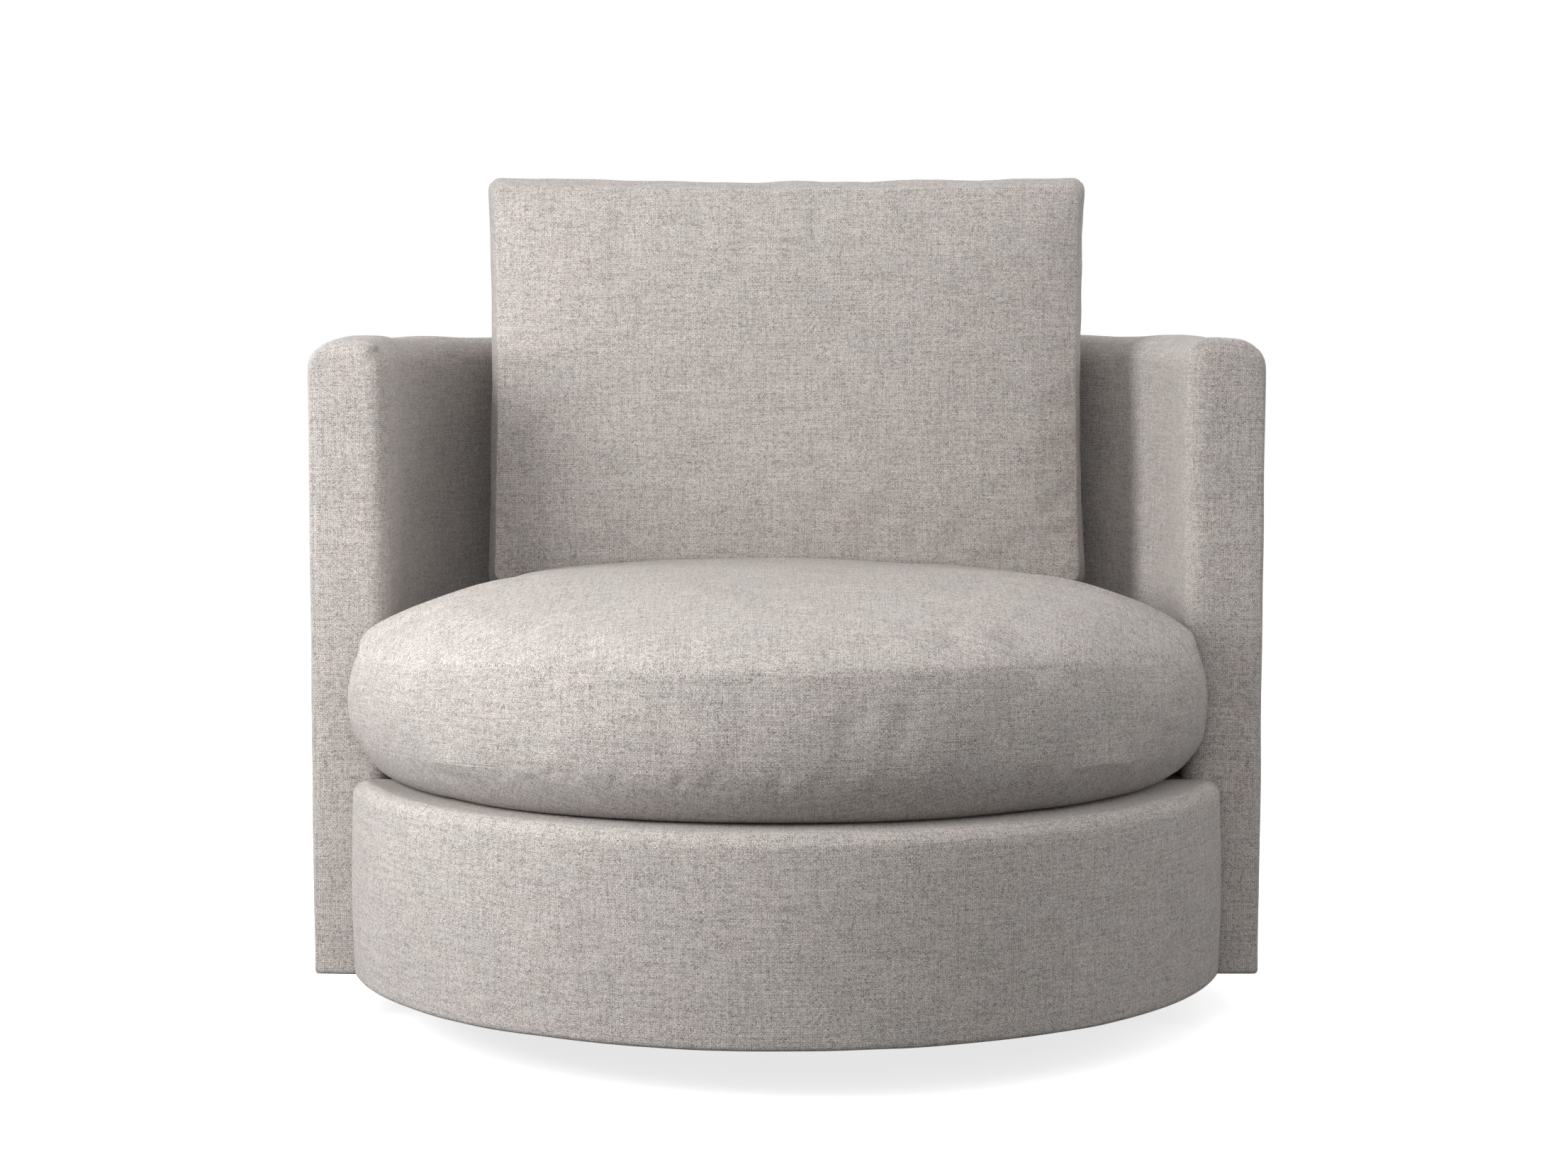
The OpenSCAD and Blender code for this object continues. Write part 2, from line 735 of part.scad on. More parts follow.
// One of the two flat rings of the deck
module deck_ring_shape(low) {
    difference() {
        deck_block(drum_frame_r, frame_r, low, low + ply_t);
        deck_block(drum_frame_r - ring_w, frame_r - ring_w, low - over, low + ply_t + over);
    }
}

module swivel_board() {
    color(ply_colour) difference() {
        intersection() {
            translate([-board_w / 2, -far / 2, 0]) cube([board_w, far, far]);
            deck_block(drum_frame_r - ring_w, frame_r - ring_w, frame_low, bottom_ring_top);
        }
        uprights(plate_holes, bolt_d + 2 * hole_gap, frame_low - over, bottom_ring_top + over);
        uprights(plate_holes, tee_d + hole_gap, bottom_ring_top - tee_l - hole_gap,
            bottom_ring_top + over);
        uprights(rail_holes, screw_d + hole_gap, frame_low - over, bottom_ring_top + over);
        translate([0, 0, frame_low - over]) cylinder(d = nut_room_d, h = ply_t + 2 * over);
    }
}

module bottom_ring() {
    color(ply_colour) difference() {
        deck_ring_shape(frame_low);
        uprights(rail_holes, screw_d + hole_gap, frame_low - over, bottom_ring_top + over);
    }
}

module cross_rails() {
    color(wood_colour) difference() {
        intersection() {
            deck_block(drum_frame_r, frame_r, bottom_ring_top, bottom_ring_top + rail_h);
            for (y = [-rail_y, rail_y]) translate([-far / 2, y - rail_w / 2, 0])
                cube([far, rail_w, far]);
        }
        uprights(rail_holes, screw_d + hole_gap, frame_low, frame_low + screw_l + hole_gap);
    }
}

module rail_screws() {
    color(steel_colour) uprights(rail_holes, screw_d, frame_low, frame_low + screw_l);
}

module deck_posts() {
    h = deck_ring_low - bottom_ring_top;
    color(wood_colour) difference() {
        union() {
            for (a = join_angles) rotate([0, 0, a])
                translate([post_r, -post_w / 2, bottom_ring_top]) cube([post_w, post_w, h]);
            for (a = front_post_angles) translate([0, -drum_ahead, 0]) rotate([0, 0, a])
                translate([front_post_r, -post_w / 2, bottom_ring_top]) cube([post_w, post_w, h]);
        }
        spokes(bolt_d + 2 * hole_gap, post_r - post_w, frame_r);
    }
}

module deck_ring() {
    color(ply_colour) deck_ring_shape(deck_ring_low);
}

module drum_skin() {
    color(ply_colour) difference() {
        d_block(drum_skin_r, frame_low, web_top);
        d_block(drum_frame_r, frame_low - over, web_top + over);
    }
}

// One layer of straps, cut to the deck's outline; the straps run along Y, or X where turned
module webbing(low, turned) {
    first = -(web_count - 1) / 2;
    color(web_colour) intersection() {
        deck_block(drum_frame_r, frame_r, low, low + web_t);
        rotate([0, 0, turned ? 90 : 0]) for (i = [0:web_count - 1])
            translate([(first + i) * web_spacing - web_w / 2, -far / 2, 0]) cube([web_w, far, far]);
    }
}

module webbing_lengthwise() {
    webbing(deck_ring_top, false);
}

module webbing_crosswise() {
    webbing(deck_ring_top + web_t, true);
}

module deck_foam() {
    color(foam_colour) {
        intersection() {
            drum_solid(cloth_t);
            translate([0, -drum_ahead, web_top]) cylinder(r = drum_skin_r, h = deck_foam_t);
        }
        u_block(inner_r - side_gap, web_top, deck_top - cloth_t);
    }
}

module deck_cloth() {
    color(web_colour) u_block(inner_r - side_gap, deck_top - cloth_t, deck_top);
}

module drum_foam() {
    color(foam_colour) difference() {
        drum_solid(cloth_t);
        translate([0, -drum_ahead, 0]) cylinder(r = drum_skin_r, h = far);
    }
}

module drum_cover() {
    color(cloth_colour) difference() {
        drum_solid(0);
        drum_solid(cloth_t);
        translate([0, -drum_ahead, 0]) cylinder(r = drum_r - hem_w, h = frame_low);
    }
}

// Thin cloth that closes the underside, round the swivel plate
module dust_cover() {
    bridge_w = 2 * (frame_r - side_gap);
    color(black_colour) difference() {
        union() {
            d_block(drum_r - hem_w - side_gap, floor_gap, frame_low);
            translate([-bridge_w / 2, front_face, floor_gap])
                cube([bridge_w, hem_w + side_gap, cloth_t]);
            u_block(wrap_r - hem_w - side_gap, floor_gap, frame_low,
                front_face + hem_w + side_gap);
        }
        room = plate_w / 2 + dust_gap;
        translate([-room, -room, 0]) cube([2 * room, 2 * room, far]);
    }
}

// Wrap frame

module wrap_rail(low) {
    color(ply_colour) wrap_layer(stud_r, stud_in_r, low, low + ply_t, post_back);
}

module wrap_bottom_rail() {
    wrap_rail(frame_low);
}

module wrap_seat_rail() {
    wrap_rail(deck_ring_low);
}

module wrap_top_rail() {
    wrap_rail(wood_top - ply_t);
}

// Studs between two heights, each set clear of the bent skins
module stud_row(low, high) {
    for (a = stud_angles) rotate([0, 0, a])
        translate([stud_in_r + side_gap, -stud_w / 2, low])
            cube([stud_depth - 2 * side_gap, stud_w, high - low]);
}

module wrap_studs() {
    color(wood_colour) difference() {
        union() {
            stud_row(bottom_ring_top, deck_ring_low);
            stud_row(deck_ring_top, wood_top - ply_t);
        }
        spokes(bolt_d + 2 * hole_gap, frame_r, stud_r);
        spokes(tee_d + hole_gap, tee_end - tee_l - hole_gap, stud_r);
        spokes(tee_flange_d + hole_gap, tee_end - tee_flange_t, stud_r);
    }
}

// Outer end of the wrap's tee nuts, flush with the studs
tee_end = stud_r - side_gap;

module arm_posts() {
    color(wood_colour) for (side = [0, 1]) mirror([side, 0, 0])
        translate([stud_in_r, post_front, frame_low])
            cube([stud_depth, arm_post_t, wood_top - frame_low]);
}

module wrap_outer_skin() {
    color(ply_colour) wrap_layer(skin_r, stud_r, frame_low, wood_top, post_front);
}

module wrap_inner_skin() {
    color(ply_colour) difference() {
        wrap_layer(stud_in_r, frame_r, frame_low, wood_top, post_front);
        spokes(bolt_d + 2 * hole_gap, post_r, stud_in_r + over);
    }
}

module wrap_bolts() {
    color(steel_colour) {
        spokes(bolt_head_d, post_r - bolt_head_h, post_r);
        spokes(bolt_d, post_r, tee_end - 2 * tee_flange_t);
    }
}

module wrap_tee_nuts() {
    color(steel_colour) difference() {
        union() {
            spokes(tee_d, tee_end - tee_l, tee_end);
            spokes(tee_flange_d, tee_end - tee_flange_t, tee_end);
        }
        spokes(bolt_d + 2 * run_gap, post_r, stud_r);
    }
}

// Wrap padding and cover

module wrap_wadding() {
    color(fibre_colour) intersection() {
        wrap_solid(cloth_t);
        wrap_layer(wadding_r + over, skin_r, 0, wood_top, post_front);
    }
}

module wrap_inner_foam() {
    color(foam_colour) intersection() {
        wrap_solid(cloth_t);
        wrap_layer(frame_r, inner_r, web_top, wood_top, post_front);
    }
}

module arm_front_foam() {
    color(foam_colour) difference() {
        intersection() {
            wrap_solid(cloth_t);
            translate([-far / 2, front_face, 0]) cube([far, post_front - front_face, wood_top]);
        }
        deck_space();
    }
}

module wrap_top_foam() {
    color(foam_colour) intersection() {
        wrap_solid(cloth_t);
        translate([-far / 2, -far / 2, wood_top]) cube([far, far, far]);
    }
}

module wrap_cover() {
    color(cloth_colour) difference() {
        wrap_solid(0);
        wrap_solid(cloth_t);
        deck_space();
        u_block(wrap_r - hem_w, 0, frame_low, front_face + hem_w);
    }
}

// Loose cushions

module seat_cover() {
    color(cloth_colour) difference() {
        seat_solid(0);
        seat_solid(cloth_t);
    }
}

module seat_fibre() {
    color(fibre_colour) difference() {
        seat_solid(cloth_t);
        seat_core_shape();
    }
}

module seat_core_shape() {
    r = seat_half_w - seat_core_in;
    shoulder = front_face - seat_core_in;
    translate([0, 0, seat_low + seat_fibre_t]) {
        intersection() {
            translate([0, -drum_ahead, 0]) cylinder(r = seat_r - seat_core_in, h = seat_core_t);
            translate([-far / 2, shoulder - far, 0]) cube([far, far, far]);
        }
        intersection() {
            translate([0, seat_axis.y, 0]) cylinder(r = r, h = seat_core_t);
            translate([-far / 2, seat_axis.y, 0]) cube([far, far, far]);
        }
        translate([-r, shoulder, 0]) cube([2 * r, seat_axis.y - shoulder, seat_core_t]);
    }
}

module seat_core() {
    color(foam_colour) seat_core_shape();
}

seat_zip_z = (seat_seam_lo + seat_seam_hi) / 2;

// A piece of ring round the seat's rear axis, a degrees either side of the angle mid
module rear_band(r_in, r_out, w, mid, a) {
    translate([seat_axis.x, seat_axis.y, seat_zip_z - w / 2]) rotate([0, 0, mid - a])
        rotate_extrude(angle = 2 * a) translate([r_in, 0]) square([r_out - r_in, w]);
}

module seat_zip() {
    color(black_colour)
        rear_band(seat_half_w + run_gap, seat_half_w + run_gap + zip_t, zip_w, 90, seat_zip_a / 2);
}

module seat_zip_slider() {
    low = seat_half_w + run_gap + zip_t + rest_gap;
    half_angle = slider_l / (2 * seat_half_w) * 180 / PI;
    color(steel_colour)
        rear_band(low, low + slider_t, slider_w, 90 - seat_slide_a + half_angle, half_angle);
}

module back_cover() {
    color(cloth_colour) difference() {
        back_solid(0);
        back_solid(cloth_t);
    }
}

module back_fibre() {
    color(fibre_colour) difference() {
        back_solid(cloth_t);
        back_core_shape();
    }
}

// A leaning slab of foam
module back_core_shape() {
    low = back_low + back_core_in;
    high = back_top - back_core_in;
    front = front_seam_y + back_core_off;
    rear = back_seam_y - back_core_off;
    w = back_w - 2 * back_core_in;
    lean_low = back_core_in * tan(back_lean);
    lean_high = (high - back_low) * tan(back_lean);
    translate([-w / 2, 0, 0]) rotate([90, 0, 90]) linear_extrude(w) polygon([
        [front + lean_low, low], [rear + lean_low, low],
        [rear + lean_high, high], [front + lean_high, high]
    ]);
}

module back_core() {
    color(foam_colour) back_core_shape();
}

module back_zip() {
    color(black_colour) translate([-back_zip_l / 2, back_zip_y, back_zip_z - zip_w / 2])
        cube([back_zip_l, zip_t, zip_w]);
}

module back_zip_slider() {
    color(steel_colour)
        translate([-back_zip_l / 2 + slider_l / 2, back_zip_y + zip_t + rest_gap,
            back_zip_z - slider_w / 2])
            cube([slider_l, slider_t, slider_w]);
}

glides();
glide_screws();
base_disc();
lower_plate();
lower_plate_screws();
kingpin();
kingpin_washer();
kingpin_nut();
bearing_balls();
ball_cage();
upper_plate();
upper_plate_bolts();
plate_tee_nuts();
swivel_board();
bottom_ring();
cross_rails();
rail_screws();
deck_posts();
deck_ring();
drum_skin();
webbing_lengthwise();
webbing_crosswise();
deck_foam();
deck_cloth();
drum_foam();
drum_cover();
dust_cover();
wrap_bottom_rail();
wrap_seat_rail();
wrap_top_rail();
wrap_studs();
arm_posts();
wrap_outer_skin();
wrap_inner_skin();
wrap_bolts();
wrap_tee_nuts();
wrap_wadding();
wrap_inner_foam();
arm_front_foam();
wrap_top_foam();
wrap_cover();
seat_cover();
seat_fibre();
seat_core();
seat_zip();
seat_zip_slider();
back_cover();
back_fibre();
back_core();
back_zip();
back_zip_slider();
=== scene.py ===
import bisect
import math
import bmesh
import bpy
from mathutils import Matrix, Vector, noise


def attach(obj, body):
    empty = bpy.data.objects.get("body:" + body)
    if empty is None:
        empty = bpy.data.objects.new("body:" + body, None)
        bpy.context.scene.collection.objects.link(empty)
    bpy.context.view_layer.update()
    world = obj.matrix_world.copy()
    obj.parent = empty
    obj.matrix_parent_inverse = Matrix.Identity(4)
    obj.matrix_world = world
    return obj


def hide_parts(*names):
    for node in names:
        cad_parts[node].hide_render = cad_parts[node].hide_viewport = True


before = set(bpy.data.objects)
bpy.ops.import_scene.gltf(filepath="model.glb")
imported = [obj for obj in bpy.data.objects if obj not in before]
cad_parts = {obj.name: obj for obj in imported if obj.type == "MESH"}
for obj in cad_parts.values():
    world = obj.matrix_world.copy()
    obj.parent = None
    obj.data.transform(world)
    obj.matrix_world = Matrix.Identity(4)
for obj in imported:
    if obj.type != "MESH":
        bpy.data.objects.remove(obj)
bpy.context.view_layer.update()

# Camera
# The photograph was taken from about 3.45 m in front of the chair with a short telephoto lens,
# a little above the arms and tilted down, square to the chair's front.
camera = bpy.data.objects.new("camera", bpy.data.cameras.new("camera"))
camera.data.sensor_width = 36
camera.data.lens = 75.4
camera.location = (-0.0025, -3.451, 0.722)
tilt_down = 4.7
camera.rotation_euler = (math.radians(90 - tilt_down), 0, 0)
bpy.context.scene.collection.objects.link(camera)
bpy.context.scene.camera = camera


# Swivel base
# A round board of black-lacquered fibreboard stands on six turned plastic glides, each held by
# a countersunk steel screw. The base stays still while the chair turns over it.
def add_node(tree, kind, inputs=(), **settings):
    """One shader node with its settings, and each input given a value or a socket to link from"""
    made = tree.nodes.new(kind)
    for name, value in settings.items():
        setattr(made, name, value)
    for place, value in dict(inputs).items():
        if isinstance(value, bpy.types.NodeSocket):
            tree.links.new(value, made.inputs[place])
        else:
            made.inputs[place].default_value = value
    return made


def maths(tree, operation, *values):
    return add_node(tree, "ShaderNodeMath", enumerate(values), operation=operation).outputs[0]


def colour_mix(tree, factor, first, second, blend="MIX"):
    made = add_node(tree, "ShaderNodeMix", {0: factor, 6: first, 7: second}, data_type="RGBA",
                    blend_type=blend)
    return made.outputs[2]


def spread(tree, value, low, high, to_low=0.0, to_high=1.0):
    """value from low..high brought smoothly to to_low..to_high"""
    return add_node(tree, "ShaderNodeMapRange", {0: value, 1: low, 2: high, 3: to_low, 4: to_high},
                    interpolation_type="SMOOTHSTEP").outputs[0]


def noise_value(tree, place, scale, detail, **sockets):
    """Blender's noise, 0 to 1, at a place"""
    return add_node(tree, "ShaderNodeTexNoise", {"Vector": place, "Scale": scale,
                                                 "Detail": detail, **sockets}).outputs[0]


def finish_shader(tree, shader, height, distance, strength, **sockets):
    """Links values to the shader's sockets, by their Blender names, and a bump to its normal"""
    bump = add_node(tree, "ShaderNodeBump", {"Strength": strength, "Distance": distance,
                                             "Height": height})
    for socket, value in dict(sockets, Normal=bump.outputs[0]).items():
        tree.links.new(value, shader.inputs[socket.replace("_", " ")])


def new_material(name, **sockets):
    """A material whose Principled shader has the given socket values, by their Blender names"""
    made = bpy.data.materials.new(name)
    made.use_nodes = True
    shader = made.node_tree.nodes["Principled BSDF"]
    for socket, value in sockets.items():
        shader.inputs[socket.replace("_", " ")].default_value = value
    return made, made.node_tree, shader


def new_group(name, inputs, outputs):
    """An empty shader group with these sockets, the values put into it and its own outlets"""
    group = bpy.data.node_groups.new(name, "ShaderNodeTree")
    for way, sockets in (("INPUT", inputs), ("OUTPUT", outputs)):
        for socket, kind in sockets.items():
            group.interface.new_socket(socket, in_out=way, socket_type="NodeSocket" + kind)
    inside = group.nodes.new("NodeGroupInput").outputs[:len(inputs)]
    return group, inside, group.nodes.new("NodeGroupOutput").inputs


def wear_group():
    """Dust and rubbed spots: two masks and a fine height, from a place and a size of spot"""
    group, (place, spots), outlets = new_group(
        "worn surface", {"Place": "Vector", "Spots per metre": "Float"},
        {"Dust": "Float", "Rubbed": "Float", "Grain": "Float"})
    dust = noise_value(group, place, spots, 6.0, Roughness=0.62)
    fine = noise_value(group, place, 900.0, 3.0)
    scuffs = noise_value(group, place, maths(group, "MULTIPLY", spots, 3.1), 8.0, Roughness=0.7,
                         Distortion=1.5)
    group.links.new(spread(group, dust, 0.42, 0.72), outlets[0])
    group.links.new(spread(group, scuffs, 0.56, 0.66), outlets[1])
    group.links.new(fine, outlets[2])
    return group


worn_surface = wear_group()


def object_place(tree):
    return add_node(tree, "ShaderNodeTexCoord").outputs["Object"]


def worn_material(name, base, dusty, rubbed, spots, rough, rough_rubbed, grain, **sockets):
    """A plain finish whose dust and rubbed spots change its colour and gloss"""
    made, tree, shader = new_material(name, **sockets)
    marks = add_node(tree, "ShaderNodeGroup", node_tree=worn_surface)
    tree.links.new(object_place(tree), marks.inputs[0])
    marks.inputs[1].default_value = spots
    dust = maths(tree, "MULTIPLY", marks.outputs[0], 0.6)
    dulled = colour_mix(tree, dust, (*base, 1), (*dusty, 1))
    finish_shader(tree, shader, marks.outputs[2], grain, 0.35,
                  Base_Color=colour_mix(tree, marks.outputs[1], dulled, (*rubbed, 1)),
                  Roughness=spread(tree, marks.outputs[1], 0, 1, rough, rough_rubbed))
    return made


def finish_node(material, *names):
    """Gives CAD nodes that stay as they are this material"""
    for name in names:
        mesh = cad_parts[name].data
        mesh.materials.clear()
        mesh.materials.append(material)


lacquer = worn_material("black_lacquered_board", (0.018, 0.018, 0.019), (0.06, 0.058, 0.055),
                        (0.04, 0.038, 0.036), spots=14.0, rough=0.42, rough_rubbed=0.3,
                        grain=0.0002)
glide_plastic = worn_material("glide_plastic", (0.03, 0.03, 0.031), (0.09, 0.088, 0.084),
                              (0.07, 0.07, 0.07), spots=60.0, rough=0.5, rough_rubbed=0.36,
                              grain=0.0001)
zinc = worn_material("zinc_plated_steel", (0.55, 0.56, 0.58), (0.4, 0.4, 0.39),
                     (0.7, 0.7, 0.71), spots=40.0, rough=0.34, rough_rubbed=0.22,
                     grain=0.00005, Metallic=1.0)
ball_steel = worn_material("polished_ball_steel", (0.62, 0.62, 0.63), (0.45, 0.42, 0.36),
                           (0.72, 0.72, 0.73), spots=80.0, rough=0.12, rough_rubbed=0.08,
                           grain=0.00002, Metallic=1.0)
finish_node(lacquer, "base_disc")
finish_node(glide_plastic, "glides")
finish_node(zinc, "glide_screws", "lower_plate", "lower_plate_screws", "kingpin",
            "kingpin_washer", "kingpin_nut", "ball_cage", "upper_plate", "upper_plate_bolts",
            "plate_tee_nuts", "rail_screws", "wrap_bolts", "wrap_tee_nuts")
finish_node(ball_steel, "bearing_balls")


# Wooden frame
# Birch plywood rails, rings and bent skins, and beech posts, studs and cross rails. All of it is
# glued and screwed, and the padding hides it.
def wood_material(name, light, dark, rings, rough):
    """Wood whose grain lines run along X, wavy and finer towards the dark ones"""
    made, tree, shader = new_material(name, Specular_IOR_Level=0.35)

    def drawn_out(along, across):
        """The place with so many spots per metre along the grain and across it"""
        return add_node(tree, "ShaderNodeMapping", {0: object_place(tree),
                                                    3: (along, across, across)}).outputs[0]

    drift = noise_value(tree, drawn_out(3.0, 26.0), 1.6, 5.0, Distortion=0.8)
    lines = maths(tree, "SINE", maths(tree, "MULTIPLY", drift, rings))
    pores = noise_value(tree, drawn_out(40.0, 900.0), 1.0, 3.0)
    tone = maths(tree, "ADD", spread(tree, lines, -1, 1, 0, 0.7),
                 spread(tree, pores, 0.5, 0.8, 0, 0.3))
    finish_shader(tree, shader, pores, 0.0003, 0.3,
                  Base_Color=colour_mix(tree, tone, (*light, 1), (*dark, 1)),
                  Roughness=spread(tree, tone, 0, 1, rough, rough + 0.15))
    return made


birch_ply = wood_material("birch_plywood", light=(0.62, 0.47, 0.31), dark=(0.45, 0.31, 0.19),
                          rings=24.0, rough=0.6)
beech = wood_material("beech", light=(0.55, 0.36, 0.22), dark=(0.38, 0.23, 0.13), rings=40.0,
                      rough=0.55)
finish_node(birch_ply, "swivel_board", "bottom_ring", "deck_ring", "drum_skin",
            "wrap_bottom_rail", "wrap_seat_rail", "wrap_top_rail", "wrap_outer_skin",
            "wrap_inner_skin")
finish_node(beech, "cross_rails", "deck_posts", "wrap_studs", "arm_posts")


# Deck front
# The round deck front is a band of upholstery cloth over foam and a bent ply skin. The cloth is
# pulled over the top edge under the seat cushion, and turned under and stapled at the hem.
def even_lines(low, high, step, near_low=(), near_high=()):
    """Places from low to high about step apart, and closer ones so far from each end"""
    near_low, near_high = (0, *near_low), (0, *near_high)
    start, end = low + near_low[-1], high - near_high[-1]
    count = max(1, round((end - start) / step))
    middle = [start + (end - start) * i / count for i in range(count + 1)]
    return [low + d for d in near_low[:-1]] + middle + [high - d for d in near_high[-2::-1]]


under_side, top_side = 4, 5


def block(x_lines, y_lines, z_lines):
    """A closed box of quads with an edge loop at each given place, and each face's side kept"""
    made = bmesh.new()
    bmesh.ops.create_cube(made, size=1)
    lines = (x_lines, y_lines, z_lines)
    for axis in range(3):
        if len(lines[axis]) > 2:
            along = [e for e in made.edges if abs(e.verts[0].co[axis] - e.verts[1].co[axis]) > 0.5]
            bmesh.ops.subdivide_edges(made, edges=along, cuts=len(lines[axis]) - 2,
                                      use_grid_fill=True)
    side = made.faces.layers.int.new("side")
    for face in made.faces:
        face.normal_update()
        axis = max(range(3), key=lambda i: abs(face.normal[i]))
        face[side] = 2 * axis + (face.normal[axis] > 0)
    for vert in made.verts:
        vert.co = Vector([lines[i][round((vert.co[i] + 0.5) * (len(lines[i]) - 1))]
                          for i in range(3)])
    return made


def lay_cloth(made, cloth_place, seam_distance, shape=None):
    """Marks each corner's place on the flat cloth, and each point's distance to a seam, and then
    moves the points to where shape has them"""
    side = made.faces.layers.int["side"]
    places = made.loops.layers.uv.new("cloth")
    seams = made.verts.layers.float.new("seam")
    far = 0.05
    for vert in made.verts:
        vert[seams] = min(seam_distance(vert.co), far)
    for face in made.faces:
        for corner in face.loops:
            corner[places].uv = cloth_place(corner.vert.co, face[side])
    for vert in made.verts if shape else ():
        vert.co = shape(vert.co)


def round_corner(place, i, j, corner_i, corner_j, r):
    """Rounds the corner between the planes i = corner_i and j = corner_j of a block"""
    to_i, to_j = math.copysign(1, corner_i[1]), math.copysign(1, corner_j[1])
    mid_i, mid_j = corner_i[0] - to_i * r, corner_j[0] - to_j * r
    a, b = (place[i] - mid_i) * to_i, (place[j] - mid_j) * to_j
    if a > 0 and b > 0:
        fit = max(a, b) / math.hypot(a, b)
        place[i], place[j] = mid_i + to_i * a * fit, mid_j + to_j * b * fit


def soften(made, depth, width, sag, size, seed):
    """Draws the cloth in along its seams and gives the padding its slight unevenness"""
    seams = made.verts.layers.float["seam"]
    made.normal_update()
    moved = []
    for vert in made.verts:
        spot = vert.co * (1 / size) + Vector((seed, 0, 0))
        uneven = noise.noise(spot) + 0.5 * noise.noise(spot * 2.3)
        draw = depth * math.exp(-(vert[seams] / width) ** 2)
        moved.append(vert.co + vert.normal * (sag * uneven - draw))
    for vert, place in zip(made.verts, moved):
        vert.co = place


def as_object(made, name, material):
    bmesh.ops.recalc_face_normals(made, faces=made.faces)
    mesh = bpy.data.meshes.new(name)
    made.to_mesh(mesh)
    made.free()
    mesh.materials.append(material)
    mesh.shade_smooth()
    piece = bpy.data.objects.new(name, mesh)
    bpy.context.scene.collection.objects.link(piece)
    return piece


def round_off(piece):
    smooth = piece.modifiers.new("round off", "SUBSURF")
    smooth.levels = smooth.render_levels = 1
    smooth.boundary_smooth = "PRESERVE_CORNERS"


def no_seam(place):
    return 1.0


def step_up(value, low, high):
    """0 below low and 1 above high, with a smooth rise between"""
    t = min(1, max(0, (value - low) / (high - low)))
    return t * t * (3 - 2 * t)


def near_seam(distance):
    """1 on a seam, and less with the distance to it"""
    return math.exp(-(distance / 0.006) ** 2)


